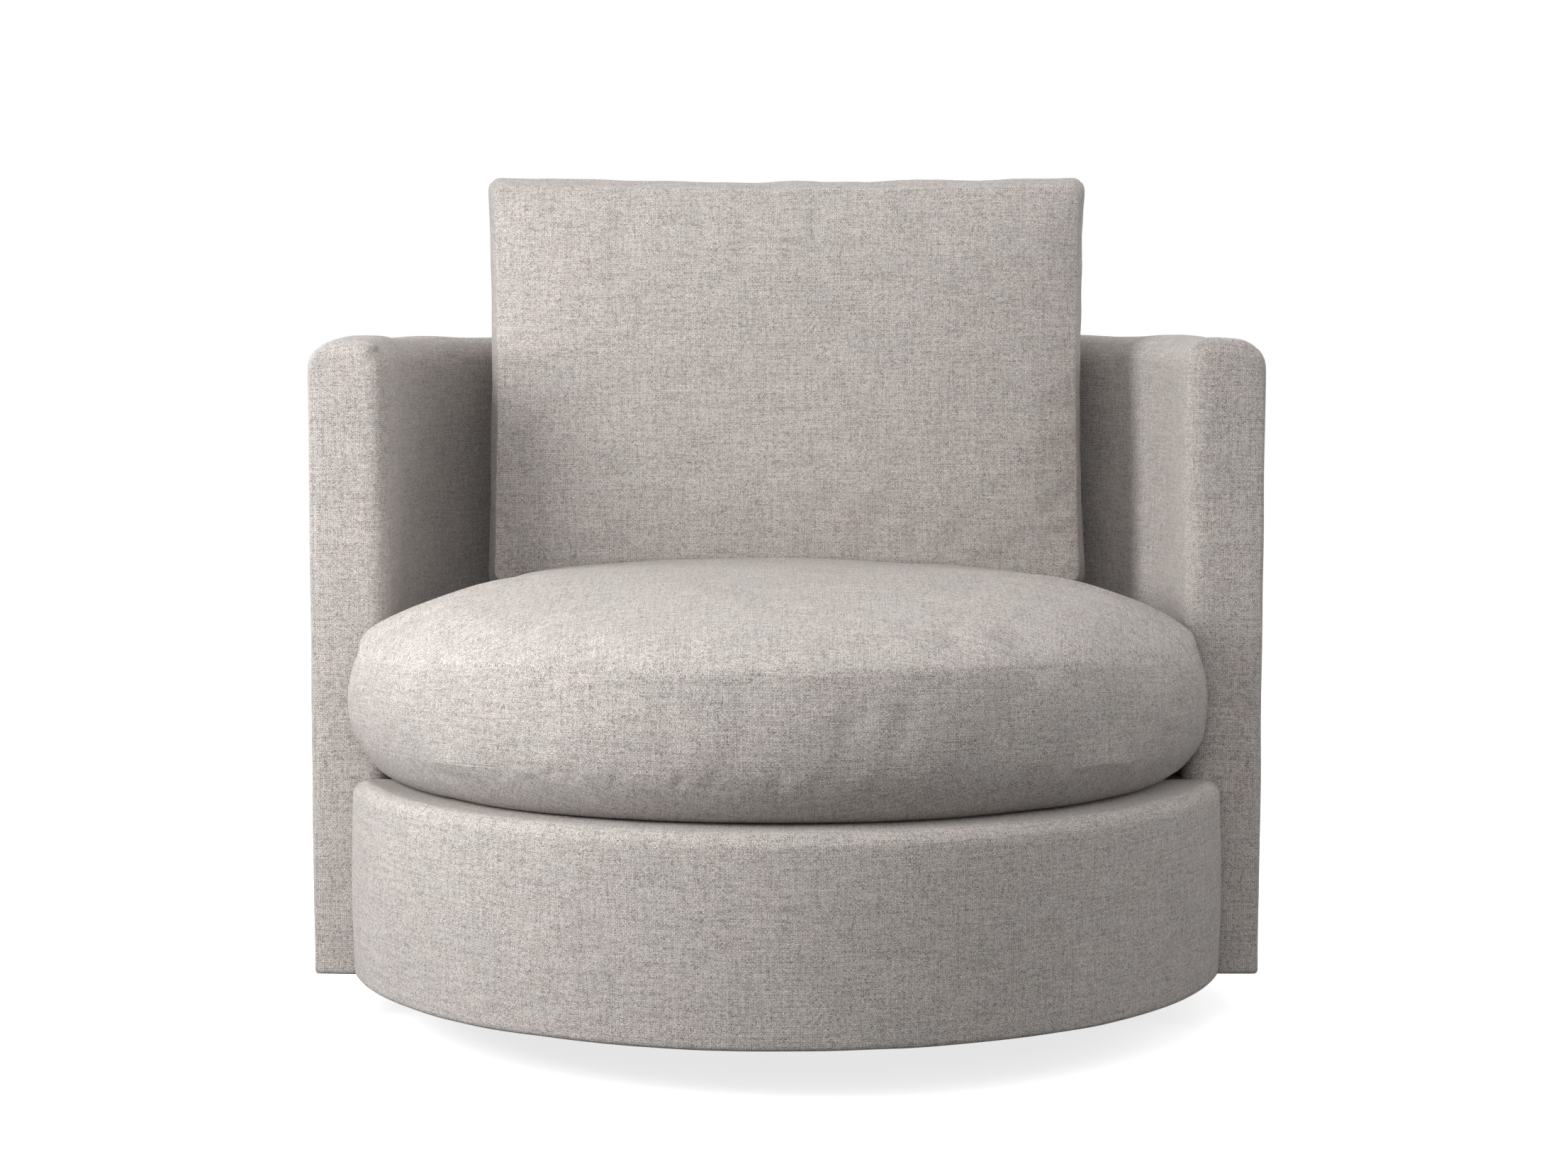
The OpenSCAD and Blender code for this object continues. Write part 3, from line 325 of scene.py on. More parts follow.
def weave_group():
    """Slub plain weave: colour and height from a place on the flat cloth, in metres. The colour
    has painted shade in the gaps between yarns and on the crossings that lie deep, and along the
    sewing line where the seam distance is near nothing"""
    group, (place, pitch, seam, light, warm, cool, shadow), outlets = new_group(
        "slub weave", {"Cloth place": "Vector", "Yarn pitch": "Float", "Seam distance": "Float",
                       "Light yarn": "Color", "Warm yarn": "Color", "Cool yarn": "Color",
                       "Shadow": "Color"}, {"Colour": "Color", "Height": "Float"})

    def m(operation, *values):
        return maths(group, operation, *values)

    def scaled(value, scale):
        return m("MULTIPLY", value, scale)

    def cloudy(x, y, z, detail=2.0):
        """Smooth noise at a place of three values"""
        vector = add_node(group, "ShaderNodeCombineXYZ", {0: x, 1: y, 2: z}).outputs[0]
        return noise_value(group, vector, 1.0, detail)

    def chance(x, y):
        """0 to 1 by chance, for each pair of whole numbers"""
        cell = add_node(group, "ShaderNodeCombineXYZ", {0: x, 1: y}).outputs[0]
        return add_node(group, "ShaderNodeTexWhiteNoise", {"Vector": cell}).outputs["Value"]

    def count_yarns(way, drift):
        """Yarns wander a little, so the grid of the weave isn't ruled"""
        wander = 0.002
        return m("DIVIDE", m("MULTIPLY_ADD", drift, wander, way), pitch)

    def rounded(count):
        """A yarn's height across it: none at its edges, 1 in the middle"""
        part = m("FRACT", count)
        return m("MULTIPLY", scaled(part, 4.0), m("SUBTRACT", 1.0, part))

    def raised(across, along):
        """The height of the yarn on top, which dips under its neighbours along its way"""
        dip = 0.6
        return m("MULTIPLY", across, m("MULTIPLY_ADD", along, dip, 1 - dip))

    x_m, y_m = add_node(group, "ShaderNodeSeparateXYZ", {0: place}).outputs[:2]
    u = count_yarns(x_m, cloudy(scaled(x_m, 70.0), scaled(y_m, 30.0), 0.0))
    v = count_yarns(y_m, cloudy(scaled(x_m, 30.0), scaled(y_m, 70.0), 5.0))
    u_yarn, v_yarn, u_round, v_round = m("FLOOR", u), m("FLOOR", v), rounded(u), rounded(v)
    both = m("ADD", u_yarn, v_yarn)
    weft_on_top = m("FLOORED_MODULO", both, 2.0)

    def on_top(warp, weft):
        return add_node(group, "ShaderNodeMix", {0: weft_on_top, 2: warp, 3: weft}).outputs[0]

    # A yarn's own tone runs along it, and changes from one yarn to the next
    warp_tone = cloudy(scaled(u_yarn, 7.31), scaled(v, 0.06), 0.0)
    weft_tone = cloudy(scaled(u, 0.045), scaled(v_yarn, 5.17), 4.0)
    height = on_top(raised(u_round, v_round), raised(v_round, u_round))
    tone = on_top(warp_tone, weft_tone)
    yarn = colour_mix(group, spread(group, tone, 0.34, 0.62), warm, light)
    slubs = cloudy(scaled(x_m, 14.0), scaled(y_m, 30.0), 7.0, 3.0)
    yarn = colour_mix(group, spread(group, slubs, 0.42, 0.62, 0.0, 0.4), yarn, cool)

    def warp_lengths(per_crossing, low, dark):
        """Darker lengths of warp by chance, whose ends are staggered from yarn to yarn"""
        length = m("FLOOR", m("MULTIPLY_ADD", u_yarn, 0.37, scaled(v, per_crossing)))
        return spread(group, chance(u_yarn, length), low, 1.0, 0.0, dark)

    def weft_lengths(per_crossing, low, dark):
        length = m("FLOOR", m("MULTIPLY_ADD", v_yarn, 0.41, scaled(u, per_crossing)))
        return spread(group, chance(length, v_yarn), low, 1.0, 0.0, dark)

    # The dark of the cloth: random fibres, lengths of yarn and whole threads, and painted shade on
    # the crossings that lie deep
    fibres = chance(m("FLOOR", scaled(u, 2.0)), m("FLOOR", scaled(v, 2.0)))
    # In each group of four crossings the weft shows in two, and which two changes by chance: these
    # two lie deep and get painted shade
    turned = m("ROUND", chance(m("FLOOR", scaled(u_yarn, 0.5)), m("FLOOR", scaled(v_yarn, 0.5))))
    sunk_crossing_shade = m("FLOORED_MODULO", m("ADD", both, turned), 2.0)
    flecks_and_crossing_shade = m("MULTIPLY_ADD", sunk_crossing_shade, 0.2, spread(group, fibres, 0.0, 1.0, 0.0, 0.34))
    short = m("ADD", warp_lengths(0.42, 0.3, 0.16), weft_lengths(0.36, 0.3, 0.18))
    long = m("ADD", warp_lengths(0.05, 0.2, 0.1), weft_lengths(0.04, 0.2, 0.11))
    threads = on_top(spread(group, warp_tone, 0.47, 0.66), spread(group, weft_tone, 0.47, 0.64))
    dark = m("MULTIPLY_ADD", threads, 0.08, m("ADD", flecks_and_crossing_shade, m("ADD", short, long)))
    lit = m("SUBTRACT", 1.0, m("MINIMUM", dark, 1.0))
    # Painted shade in the gaps between yarns: where the weave is low the colour goes to the shadow
    # colour, and on the yarn tops only as far as the random dark fibres and lengths of yarn take
    # it
    open_part = spread(group, height, 0.06, 0.5)
    # Sewing line: painted shade, a dark thin line where the cloth turns in
    line = spread(group, seam, 0.0002, 0.001, 0.22, 0.0)
    shade = m("MAXIMUM", m("SUBTRACT", 1.0, m("MULTIPLY", open_part, lit)), line)
    group.links.new(colour_mix(group, shade, yarn, shadow), outlets[0])
    slub = m("MULTIPLY_ADD", m("SUBTRACT", tone, 0.5), 0.8, height)
    drawn_in = spread(group, seam, 0.0, 0.002, 0.6, 0.0)
    group.links.new(m("SUBTRACT", slub, drawn_in), outlets[1])
    return group


slub_weave = weave_group()


def woven_material(name, pitch, light, warm, cool, shadow, bump_height, **sockets):
    made, tree, shader = new_material(name, **sockets)
    weave = add_node(tree, "ShaderNodeGroup", node_tree=slub_weave)
    tree.links.new(add_node(tree, "ShaderNodeUVMap", uv_map="cloth").outputs[0], weave.inputs[0])
    tree.links.new(add_node(tree, "ShaderNodeAttribute", attribute_name="seam").outputs["Fac"],
                   weave.inputs[2])
    weave.inputs[1].default_value = pitch
    for i, colour in enumerate((light, warm, cool, shadow)):
        weave.inputs[3 + i].default_value = (*colour, 1)
    finish_shader(tree, shader, weave.outputs[1], bump_height, 0.6, Base_Color=weave.outputs[0])
    return made


cloth = woven_material("slub_upholstery_cloth", pitch=0.00115, light=(0.97, 0.925, 0.895),
                       warm=(0.90, 0.825, 0.785), cool=(0.81, 0.815, 0.78),
                       shadow=(0.155, 0.125, 0.11), bump_height=0.0012, Roughness=0.92,
                       Specular_IOR_Level=0.22, Sheen_Weight=0.12, Sheen_Roughness=0.55)
deck_r, deck_ahead, arm_front = 0.455, 0.03, -0.126
deck_low, deck_high, deck_foam_low = 0.05, 0.253, 0.2265
deck_edge_r, hem_r, hem_w, hem_t, front_pad = 0.016, 0.005, 0.035, 0.0015, 0.0135
deck_slack, deck_fullness, flap_l, flap_narrow = 0.002, 0.003, 0.34, 0.97
deck_turn = math.asin(math.sqrt(deck_r ** 2 - (deck_ahead + arm_front) ** 2) / deck_r)
hem_run, hem_arc = hem_w - hem_r, hem_r * math.pi / 2
upright = deck_high - deck_low - hem_r - deck_edge_r
edge_arc = deck_edge_r * math.pi / 2
over_edge = hem_run + hem_arc + upright + edge_arc
flap_end = over_edge + flap_l


def deck_section(s):
    """Depth behind the deck's front and height of the cloth, s along it from inside the hem"""
    if s < hem_run:
        return -hem_w + s, deck_low
    s -= hem_run
    if s < hem_arc:
        return -hem_r + hem_r * math.sin(s / hem_r), deck_low + hem_r * (1 - math.cos(s / hem_r))
    s -= hem_arc
    if s < upright:
        return 0, deck_low + hem_r + s
    s -= upright
    if s < edge_arc:
        turn = s / deck_edge_r
        return deck_edge_r * (math.cos(turn) - 1), deck_high - deck_edge_r * (1 - math.sin(turn))
    return -deck_edge_r - (s - edge_arc), deck_high


def deck_front_place(flat):
    """From along the band, through the padding and along its section, to the round deck front"""
    along, through, s = flat
    depth, z = deck_section(min(s, over_edge))
    inner_depth, inner_z = min(depth, -front_pad), min(max(z, deck_low + hem_t), deck_foam_low)
    depth, z = depth + (inner_depth - depth) * through, z + (inner_z - z) * through
    angle = along / deck_r
    fuller = 1 - ((2 * z - deck_low - deck_high) / (deck_high - deck_low)) ** 2
    r = deck_r - deck_slack + deck_fullness * fuller * step_up(depth, -0.03, 0) + depth
    place = Vector((r * math.sin(angle), -deck_ahead - r * math.cos(angle), z))
    if s > over_edge:
        back = Vector((place.x * flap_narrow, arm_front, z))
        place = place.lerp(back, (s - over_edge) / (flap_end - over_edge))
    place.y = min(place.y, arm_front)
    return place


half_band, band_step = deck_turn * deck_r, 0.0105
up_band, start = [0], 0
for end, step in ((hem_run, 0.009), (hem_run + hem_arc, 0.003), (over_edge - edge_arc, band_step),
                  (over_edge, 0.0045), (flap_end, 0.017)):
    up_band += even_lines(start, end, step)[1:]
    start = end
band = block(even_lines(-half_band, half_band, band_step), [0, 1], up_band)
lay_cloth(band, lambda p, side: (p.x, p.z + p.y * 0.01), no_seam, deck_front_place)
soften(band, depth=0, width=1, sag=0.0008, size=0.12, seed=3.0)
deck_front = as_object(band, "deck_front_upholstery", cloth)
round_off(deck_front)
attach(deck_front, "chair")
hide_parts("drum_cover", "drum_foam")


# Deck lining
# Behind the deck front the seat cushion lies on a flat foam pad, covered with a plain platform
# cloth that is sewn to the upholstery cloth along the arm fronts.
def round_back(u, v, r, y_front):
    """From a square, -1..1 across and -1..1 back, to an outline with a half-round back"""
    if v < 0:
        return r * u, -y_front * v
    return r * u * math.sqrt(1 - v * v / 2), r * v * math.sqrt(1 - u * u / 2)


def pad_place(flat):
    """From the square block to the pad, a little crowned on top"""
    x, y = round_back(flat.x, flat.y, pad_r, arm_front)
    from_middle = max(abs(flat.x), abs(flat.y))
    crown = pad_dish * (1 - from_middle ** 6) * (flat.z > deck_high - 0.002)
    return Vector((x, y, flat.z - pad_dish + crown))


def pad_cloth(p, side):
    return (p.x * pad_r, p.y * pad_r) if side >= under_side else (p.x * 0.6 + p.y, p.z)


def pad_seam(p):
    """Distance to the sewing along the arm fronts, over the pad's front edge"""
    return (p.y + 1) * -arm_front + deck_high - p.z


platform_cloth = woven_material("platform_cloth", pitch=0.0007, light=(0.33, 0.31, 0.29),
                                warm=(0.29, 0.27, 0.25), cool=(0.30, 0.29, 0.28),
                                shadow=(0.10, 0.09, 0.085), bump_height=0.00015,
                                Roughness=0.95, Specular_IOR_Level=0.2)
pad_r, pad_low, pad_dish = 0.4046, 0.2267, 0.0012
pad = block(even_lines(-1, 1, 0.05, (0.004, 0.012), (0.004, 0.012)),
            even_lines(-1, 1, 0.05, (0.01, 0.04), (0.004, 0.012)),
            even_lines(pad_low, deck_high, 0.006, (0.001, 0.003), (0.001, 0.003)))
lay_cloth(pad, pad_cloth, pad_seam, pad_place)
deck_lining = as_object(pad, "deck_lining", platform_cloth)
round_off(deck_lining)
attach(deck_lining, "chair")
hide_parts("deck_foam", "deck_cloth")


# Webbing
# Under the pad, elastic straps are stapled across the deck ring both ways, and each passes over
# one strap and under the next.
def strap_material():
    """Knitted webbing: fine ribs along it and two rust-coloured stripes near its edges"""
    rib_pitch, pick_pitch, stripe_out = 0.0017, 0.0024, 0.017
    made, tree, shader = new_material("elastic_webbing", Roughness=0.8, Specular_IOR_Level=0.3)
    place = add_node(tree, "ShaderNodeUVMap", uv_map="strap").outputs[0]
    across, along = add_node(tree, "ShaderNodeSeparateXYZ", {0: place}).outputs[:2]
    ribs = maths(tree, "SINE", maths(tree, "MULTIPLY", across, math.tau / rib_pitch))
    picks = maths(tree, "SINE", maths(tree, "MULTIPLY", along, math.tau / pick_pitch))
    weave = maths(tree, "MULTIPLY_ADD", picks, 0.35, ribs)
    out = maths(tree, "SUBTRACT", maths(tree, "ABSOLUTE", across), stripe_out)
    stripe = spread(tree, maths(tree, "ABSOLUTE", out), 0.0016, 0.0021, 1.0, 0.0)
    worn = spread(tree, noise_value(tree, place, 90.0, 4.0), 0.3, 0.7)
    ground = colour_mix(tree, worn, (0.075, 0.068, 0.062, 1), (0.11, 0.098, 0.088, 1))
    striped = colour_mix(tree, stripe, ground, (0.28, 0.12, 0.06, 1))
    # Painted shade in the troughs between the ribs and picks
    shaded = colour_mix(tree, spread(tree, weave, -1.2, 1.2), (0.03, 0.027, 0.025, 1), striped)
    finish_shader(tree, shader, weave, 0.0003, 0.7, Base_Color=shaded)
    return made


strap_w, strap_t, strap_spacing, strap_z, strap_lift = 0.05, 0.0011, 0.095, 0.224, 0.0013
strap_step, ring_front_r, ring_rear_r = 0.012, 0.4362, 0.4318


def strap(made, start, end, centre, turned, first_up):
    """A flat strip from start to end that passes over and under the straps across it"""
    lengths = round((end - start) / strap_step)
    strip = bmesh.ops.create_grid(made, x_segments=6, y_segments=lengths, size=0.5)["verts"]
    places = made.loops.layers.uv["strap"]
    for vert in strip:
        across, along = vert.co.x * strap_w, start + (vert.co.y + 0.5) * (end - start)
        ride = math.cos(math.pi * along / strap_spacing) * first_up
        for corner in vert.link_loops:
            corner[places].uv = (across, along)
        x, y = centre + across, along
        z = strap_z + strap_lift * ride
        vert.co = Vector((-y, x, z) if turned else (x, y, z))
    faces = dict.fromkeys(f for v in strip for f in v.link_faces)
    bmesh.ops.solidify(made, geom=list(faces), thickness=strap_t)


straps = bmesh.new()
straps.loops.layers.uv.new("strap")
for i in range(-3, 4):
    centre = i * strap_spacing
    edge = abs(centre) + strap_w / 2
    front = -deck_ahead - math.sqrt(ring_front_r ** 2 - edge ** 2)
    rear = math.sqrt(ring_rear_r ** 2 - edge ** 2)
    strap(straps, front, rear, centre, False, 1 if i % 2 else -1)
    reach = math.sqrt(min(ring_front_r, ring_rear_r) ** 2 - edge ** 2)
    strap(straps, -reach, reach, centre, True, -1 if i % 2 else 1)
webbing = as_object(straps, "webbing_straps", strap_material())
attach(webbing, "chair")
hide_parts("webbing_lengthwise", "webbing_crosswise")


# Dust cloth
# A thin black spunbonded cloth closes the underside between the hems, round the swivel plate, and
# sags a little between its staples.
def dust_material():
    """Spunbonded cloth: matted fibres and a grid of pressed dots"""
    made, tree, shader = new_material("spunbonded_dust_cloth", Roughness=0.85,
                                      Specular_IOR_Level=0.3)
    place = object_place(tree)
    fibres = noise_value(tree, place, 700.0, 5.0, Distortion=2.0)
    dots = add_node(tree, "ShaderNodeTexVoronoi", {"Vector": place, "Scale": 600.0,
                                                   "Randomness": 0.15}).outputs["Distance"]
    pressed = spread(tree, dots, 0.15, 0.3)
    matted = colour_mix(tree, fibres, (0.012, 0.012, 0.012, 1), (0.045, 0.045, 0.046, 1))
    finish_shader(tree, shader, maths(tree, "ADD", pressed, fibres), 0.0002, 0.5,
                  Base_Color=matted, Roughness=spread(tree, pressed, 0, 1, 0.6, 0.9))
    return made


dust_z, dust_hole, dust_front_r, dust_back_r = 0.0508, 0.116, 0.4198, 0.4496
dust_sag, dust_t = 0.003, 0.0006


def dust_outline(angle):
    """The cloth's edge at an angle round the swivel axis, from the front"""
    x, y = math.sin(angle), -math.cos(angle)
    back = dust_back_r
    if y >= 0:
        return back
    along = -y * deck_ahead
    front = along + math.sqrt(along ** 2 + dust_front_r ** 2 - deck_ahead ** 2)
    side = (arm_front + hem_w) / y
    return min(back, max(front, side))


dust_rings, dust_turns = 14, 160
dust = bmesh.new()
bmesh.ops.create_grid(dust, x_segments=dust_turns, y_segments=dust_rings, size=0.5)
for vert in dust.verts:
    angle, part = vert.co.x * math.tau, vert.co.y + 0.5
    near = dust_hole / max(abs(math.sin(angle)), abs(math.cos(angle)))
    r = near + (dust_outline(angle) - near) * part
    hang = math.sin(math.pi * part) * (0.75 + 0.25 * math.cos(7 * angle))
    vert.co = Vector((r * math.sin(angle), -r * math.cos(angle), dust_z - dust_sag * hang))
bmesh.ops.remove_doubles(dust, verts=dust.verts, dist=1e-5)
dust_area = sum(f.calc_area() for f in dust.faces)
bmesh.ops.solidify(dust, geom=dust.faces[:], thickness=dust_t)
dust_cloth = as_object(dust, "dust_cloth", dust_material())
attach(dust_cloth, "chair")
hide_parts("dust_cover")


# Wrap
# One padded wall makes the back and both arms: foam over bent ply, with the cloth of the inside
# brought round the arm fronts and over the top, and sewn to the outside panel along the outer
# front edge. A dart takes up each arm's top corner, and two seams join the outside's widths.
wall_r, wall_t, wall_low, wall_high = 0.405, 0.08, 0.05, 0.702
bend_r = wall_r + wall_t
half_bend = math.pi / 2 * bend_r
half_wall = half_bend - arm_front
front_seam, dart_z, dart_mid, dart_half = wall_t - 0.0055, wall_high - 0.0085, 0.056, 0.013
arm_inner_r, arm_outer_r, arm_top_r, top_edge_r = 0.022, 0.006, 0.014, 0.028
top_wave, arm_droop = 0.004, 0.003


def wrap_place(flat):
    """From along the wall, out from its inner face and up, to the round wrap"""
    place = list(flat)
    for end in (-1, 1):
        along = (end * half_wall, end)
        round_corner(place, 0, 1, along, (0, -1), arm_inner_r)
        round_corner(place, 0, 1, along, (wall_t, 1), arm_outer_r)
        round_corner(place, 0, 2, along, (wall_high, 1), arm_top_r)
        round_corner(place, 0, 2, along, (wall_low, -1), hem_r)
    for side in ((0, -1), (wall_t, 1)):
        round_corner(place, 1, 2, side, (wall_high, 1), top_edge_r)
        round_corner(place, 1, 2, side, (wall_low, -1), hem_r)
    top = step_up(flat[2], wall_high - 0.09, wall_high)
    wave = noise.noise(Vector((flat[0] * 7.5, flat[1] * 6, 4.2))) - 0.25
    place[2] += top * (top_wave * wave
                       - arm_droop * step_up(abs(flat[0]), half_wall - 0.1, half_wall)
                       * step_up(flat[1], 0.02, wall_t))
    r = wall_r + place[1]
    along = max(-half_bend, min(half_bend, place[0]))
    angle = along / bend_r
    return Vector((r * math.sin(angle), r * math.cos(angle) - abs(place[0] - along), place[2]))


def wrap_cloth(p, side):
    """The arm fronts, the inside, the outside, the hem and the top lie on the cloth's grain"""
    return ((p.y, p.z), (p.y, p.z), (p.x, p.z), (p.x + 0.3, p.z), (p.x, p.y),
            (p.x, wall_high + p.y))[side]


def wrap_seam(p):
    """Distance to the arm front's outer seam and dart, or to the outside's upright seams"""
    if abs(abs(p.x) - half_wall) < 1e-6:
        upright_seam = math.hypot(p.y - front_seam, max(0, p.z - wall_high + 0.03))
        dart = math.hypot(p.z - dart_z, max(0, abs(p.y - dart_mid) - dart_half))
        return min(upright_seam, dart)
    if abs(p.y - wall_t) < 1e-6:
        return abs(abs(p.x) - outer_seam)
    return 1.0


wall_step, near_front, panel_w = 0.0115, (0.002, 0.006, 0.011, 0.017, 0.023), 0.72
along_wall = even_lines(-half_wall, half_wall, wall_step, near_front, near_front)
outer_seam = min(along_wall, key=lambda x: abs(x - panel_w / 2))
through_wall = [0, 0.003, 0.008, 0.015, 0.022, 0.03, 0.037, 0.043, 0.05, 0.056, 0.062, 0.069,
                0.0725, front_seam, 0.077, wall_t]
wall = block(along_wall, through_wall,
             even_lines(wall_low, wall_high, wall_step, (0.0015, 0.004, 0.007),
                        (0.003, 0.0085, 0.014, 0.021, 0.028)))
lay_cloth(wall, wrap_cloth, wrap_seam, wrap_place)
soften(wall, depth=0.0009, width=0.003, sag=0.0012, size=0.16, seed=11.0)
wrap = as_object(wall, "wrap_upholstery", cloth)
round_off(wrap)
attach(wrap, "chair")
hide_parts("wrap_cover", "wrap_wadding", "wrap_inner_foam", "arm_front_foam",
            "wrap_top_foam")


# Seat cushion
# A thick loose cushion with a round front and round shoulders that pass round the arm fronts: a
# crowned top panel, a boxing between two seams, and a bottom panel that tucks in. Foam wrapped
# in fibre fills it out, and the front stands a little to the left of the deck's middle.
def fill_cover(piece, hold, spare, cap):
    """Fills the cover by cloth simulation. hold gives how firmly a point is held, by its place and
    its distance to a seam, spare is how much wider the cloth is than its shape, and cap is the
    furthest that a point may move."""
    stiffness, pressure, steps = 15.0, 4.0, 20
    rest = [v.co.copy() for v in piece.data.vertices]
    seams = [d.value for d in piece.data.attributes["seam"].data]
    group = piece.vertex_groups.new(name="held")
    for vert in piece.data.vertices:
        firmness = hold(vert.co, seams[vert.index])
        if firmness > 0:
            group.add([vert.index], firmness, "REPLACE")
    filling = piece.modifiers.new("fill", "CLOTH")
    settings = filling.settings
    settings.quality = 6
    settings.mass = 0.3
    settings.tension_stiffness = settings.compression_stiffness = stiffness
    settings.shear_stiffness = stiffness / 2
    settings.bending_stiffness = 1.0
    settings.use_pressure = True
    settings.uniform_pressure_force = pressure
    settings.shrink_min = -spare
    settings.effector_weights.gravity = 0
    settings.vertex_group_mass = "held"
    settings.pin_stiffness = 1.0
    filling.collision_settings.use_collision = False
    scene = bpy.context.scene
    for step in range(1, steps + 1):
        scene.frame_set(step)
    shown = piece.evaluated_get(bpy.context.evaluated_depsgraph_get())
    blown = [v.co.copy() for v in shown.data.vertices]
    piece.modifiers.remove(filling)
    piece.vertex_groups.clear()
    scene.frame_set(1)
    for vert, before, after in zip(piece.data.vertices, rest, blown):
        move = after - before
        vert.co = before + move * min(1, cap / max(move.length, 1e-9))


seat_round, seat_half, seat_axis_y = 0.45, 0.404, -0.006
arm_corner, hollow_r = Vector((0.427, -0.104)), 0.023
seat_low, seat_lower_seam, seat_upper_seam, seat_crown = 0.2535, 0.302, 0.398, 0.07
lower_seam_in, upper_seam_in, lower_droop, upper_droop = 0.003, 0.0065, 0.008, 0.016
tuck_from, tuck_in, front_shift, mean_reach, boxing_h = 0.86, 0.055, 0.0095, 0.43, 0.097
seat_middle = Vector((0, -deck_ahead))


def seat_edge_points():
    """The right half of the cushion's outline, from the middle of its front to its back"""
    apart = (arm_corner - seat_middle).length
    aim = math.atan2(arm_corner.y - seat_middle.y, arm_corner.x)
    meet = aim - math.acos((seat_round ** 2 + apart ** 2 - hollow_r ** 2)
                           / (2 * seat_round * apart))
    points = [seat_middle + seat_round * Vector((math.cos(a), math.sin(a)))
              for a in (-math.pi / 2 + (meet + math.pi / 2) * i / 60 for i in range(61))]
    start = points[-1] - arm_corner
    begin = math.atan2(start.y, start.x) % (2 * math.pi)
    points += [arm_corner + hollow_r * Vector((math.cos(a), math.sin(a)))
               for a in (begin + (math.pi - begin) * i / 12 for i in range(1, 13))]
    points += [Vector((seat_half * math.cos(a), seat_half * math.sin(a) + seat_axis_y))
               for a in (math.pi / 2 * i / 60 for i in range(61))]
    return points


seat_edge = sorted((math.atan2(p.x, -(p.y - seat_middle.y)), (p - seat_middle).length)
                   for p in seat_edge_points())


def seat_reach(angle):
    """Distance from the middle of the deck to the cushion's edge, at an angle from the front"""
    angle = min(abs(angle), seat_edge[-1][0])
    after = bisect.bisect_right(seat_edge, angle, 1, len(seat_edge) - 1, key=lambda e: e[0])
    (a, r), (b, s) = seat_edge[after - 1], seat_edge[after]
    return r + (s - r) * (angle - a) / max(b - a, 1e-9)


def pressed(x, y):
    """Share of the crown's height that the back cushion presses down, more on the right"""
    return step_up(y, -0.2, 0.05) * (0.09 + 0.2 * abs(x) + 0.25 * max(0, x))


def crown_height(part, droop, press):
    """Height of the top panel, whose sides are rounder than its front"""
    flatness, steepness = 3.2 + 1.4 * droop, 0.62 - 0.24 * droop
    rise = (1 - press) * seat_crown * (1 - part ** flatness) ** steepness
    return seat_upper_seam - upper_droop * droop * part ** 4 + rise


def seat_section(side, part, w, reach, droop, left, press):
    """How far out and how high a point of the cushion is. Its seams are further in and lower at
    the shoulders, and most so on the left."""
    in_low = lower_seam_in + (0.002 + 0.006 * left) * droop
    in_high = upper_seam_in + 0.003 * droop
    if side == top_side:
        keep = part ** 6
        edge = keep * reach + (1 - keep) * seat_half
        return (edge - in_high) * part, crown_height(part, droop, press)
    low, high = seat_lower_seam - lower_droop * droop, seat_upper_seam - upper_droop * droop
    if side == under_side:
        t = (1 - part) / (1 - tuck_from)
        tuck = tuck_in - in_low + lower_seam_in
        if t < 1:
            return reach - in_low - tuck * t, seat_low + (low - seat_low) * (1 - t) ** 2.2
        return (reach - in_low - tuck) * part / tuck_from, seat_low
    bulge = in_high if w > 0.5 else in_low
    return reach - bulge * (2 * w - 1) ** 2, low + (high - low) * w


def seat_polar(u, v):
    x, y = u * math.sqrt(1 - v * v / 2), v * math.sqrt(1 - u * u / 2)
    return min(1, math.hypot(x, y)), math.atan2(x, -y)


def seat_droop(angle):
    """How far along the seams have come down, from none in the middle to all at the shoulders"""
    return min(1, seat_reach(angle) * abs(math.sin(angle)) / 0.44) ** 3


def seat_place(flat):
    """From a block of -1..1, -1..1 and 0..1 to the cushion, a square drawn onto its outline"""
    u, v, w = flat
    part, angle = seat_polar(u, v)
    reach = seat_reach(angle)
    press = pressed(part * reach * math.sin(angle), -deck_ahead - part * reach * math.cos(angle))
    side = top_side if w == 1 else under_side if w == 0 else 0
    out, z = seat_section(side, part, w, reach, seat_droop(angle), float(u < 0), press)
    x, y = out * math.sin(angle), -deck_ahead - out * math.cos(angle)
    return Vector((x - front_shift * step_up(-y, 0.105, 0.145), y, z))


def way_out(side):
    """Lengths along the top or underside from the middle to each hundredth of its reach"""
    ways, last = [0.0], seat_section(side, 0, 0, mean_reach, 0, 0, 0)
    for i in range(1, 101):
        now = seat_section(side, i / 100, 0, mean_reach, 0, 0, 0)
        ways.append(ways[-1] + math.dist(now, last))
        last = now
    return ways


panel_ways = {side: way_out(side) for side in (under_side, top_side)}


def seat_cloth(p, side):
    """Panels lie flat on the cloth's grain, and the boxing runs along the outline"""
    part, angle = seat_polar(p.x, p.y)
    if side in panel_ways:
        ways, at = panel_ways[side], min(part * 100, 99.999)
        way = ways[int(at)] + (ways[int(at) + 1] - ways[int(at)]) * (at % 1)
        return way * math.sin(angle) + side, -way * math.cos(angle)
    if side == 3 and angle < 0:
        angle += 2 * math.pi
    return angle * mean_reach, p.z * boxing_h + boxing_start


def seat_seam(p):
    if 0 < p.z < 1:
        return min(p.z, 1 - p.z) * boxing_h
    return (1 - max(abs(p.x), abs(p.y))) * seat_round


def seat_hold(place, seam):
    """The seams keep some of their shape, and the rear, the sides and the underside all of it"""
    return max(0.2 * near_seam(seam), step_up(place.y, -0.2, -0.1) * (place.z < 0.42),
               float(place.z < 0.29))


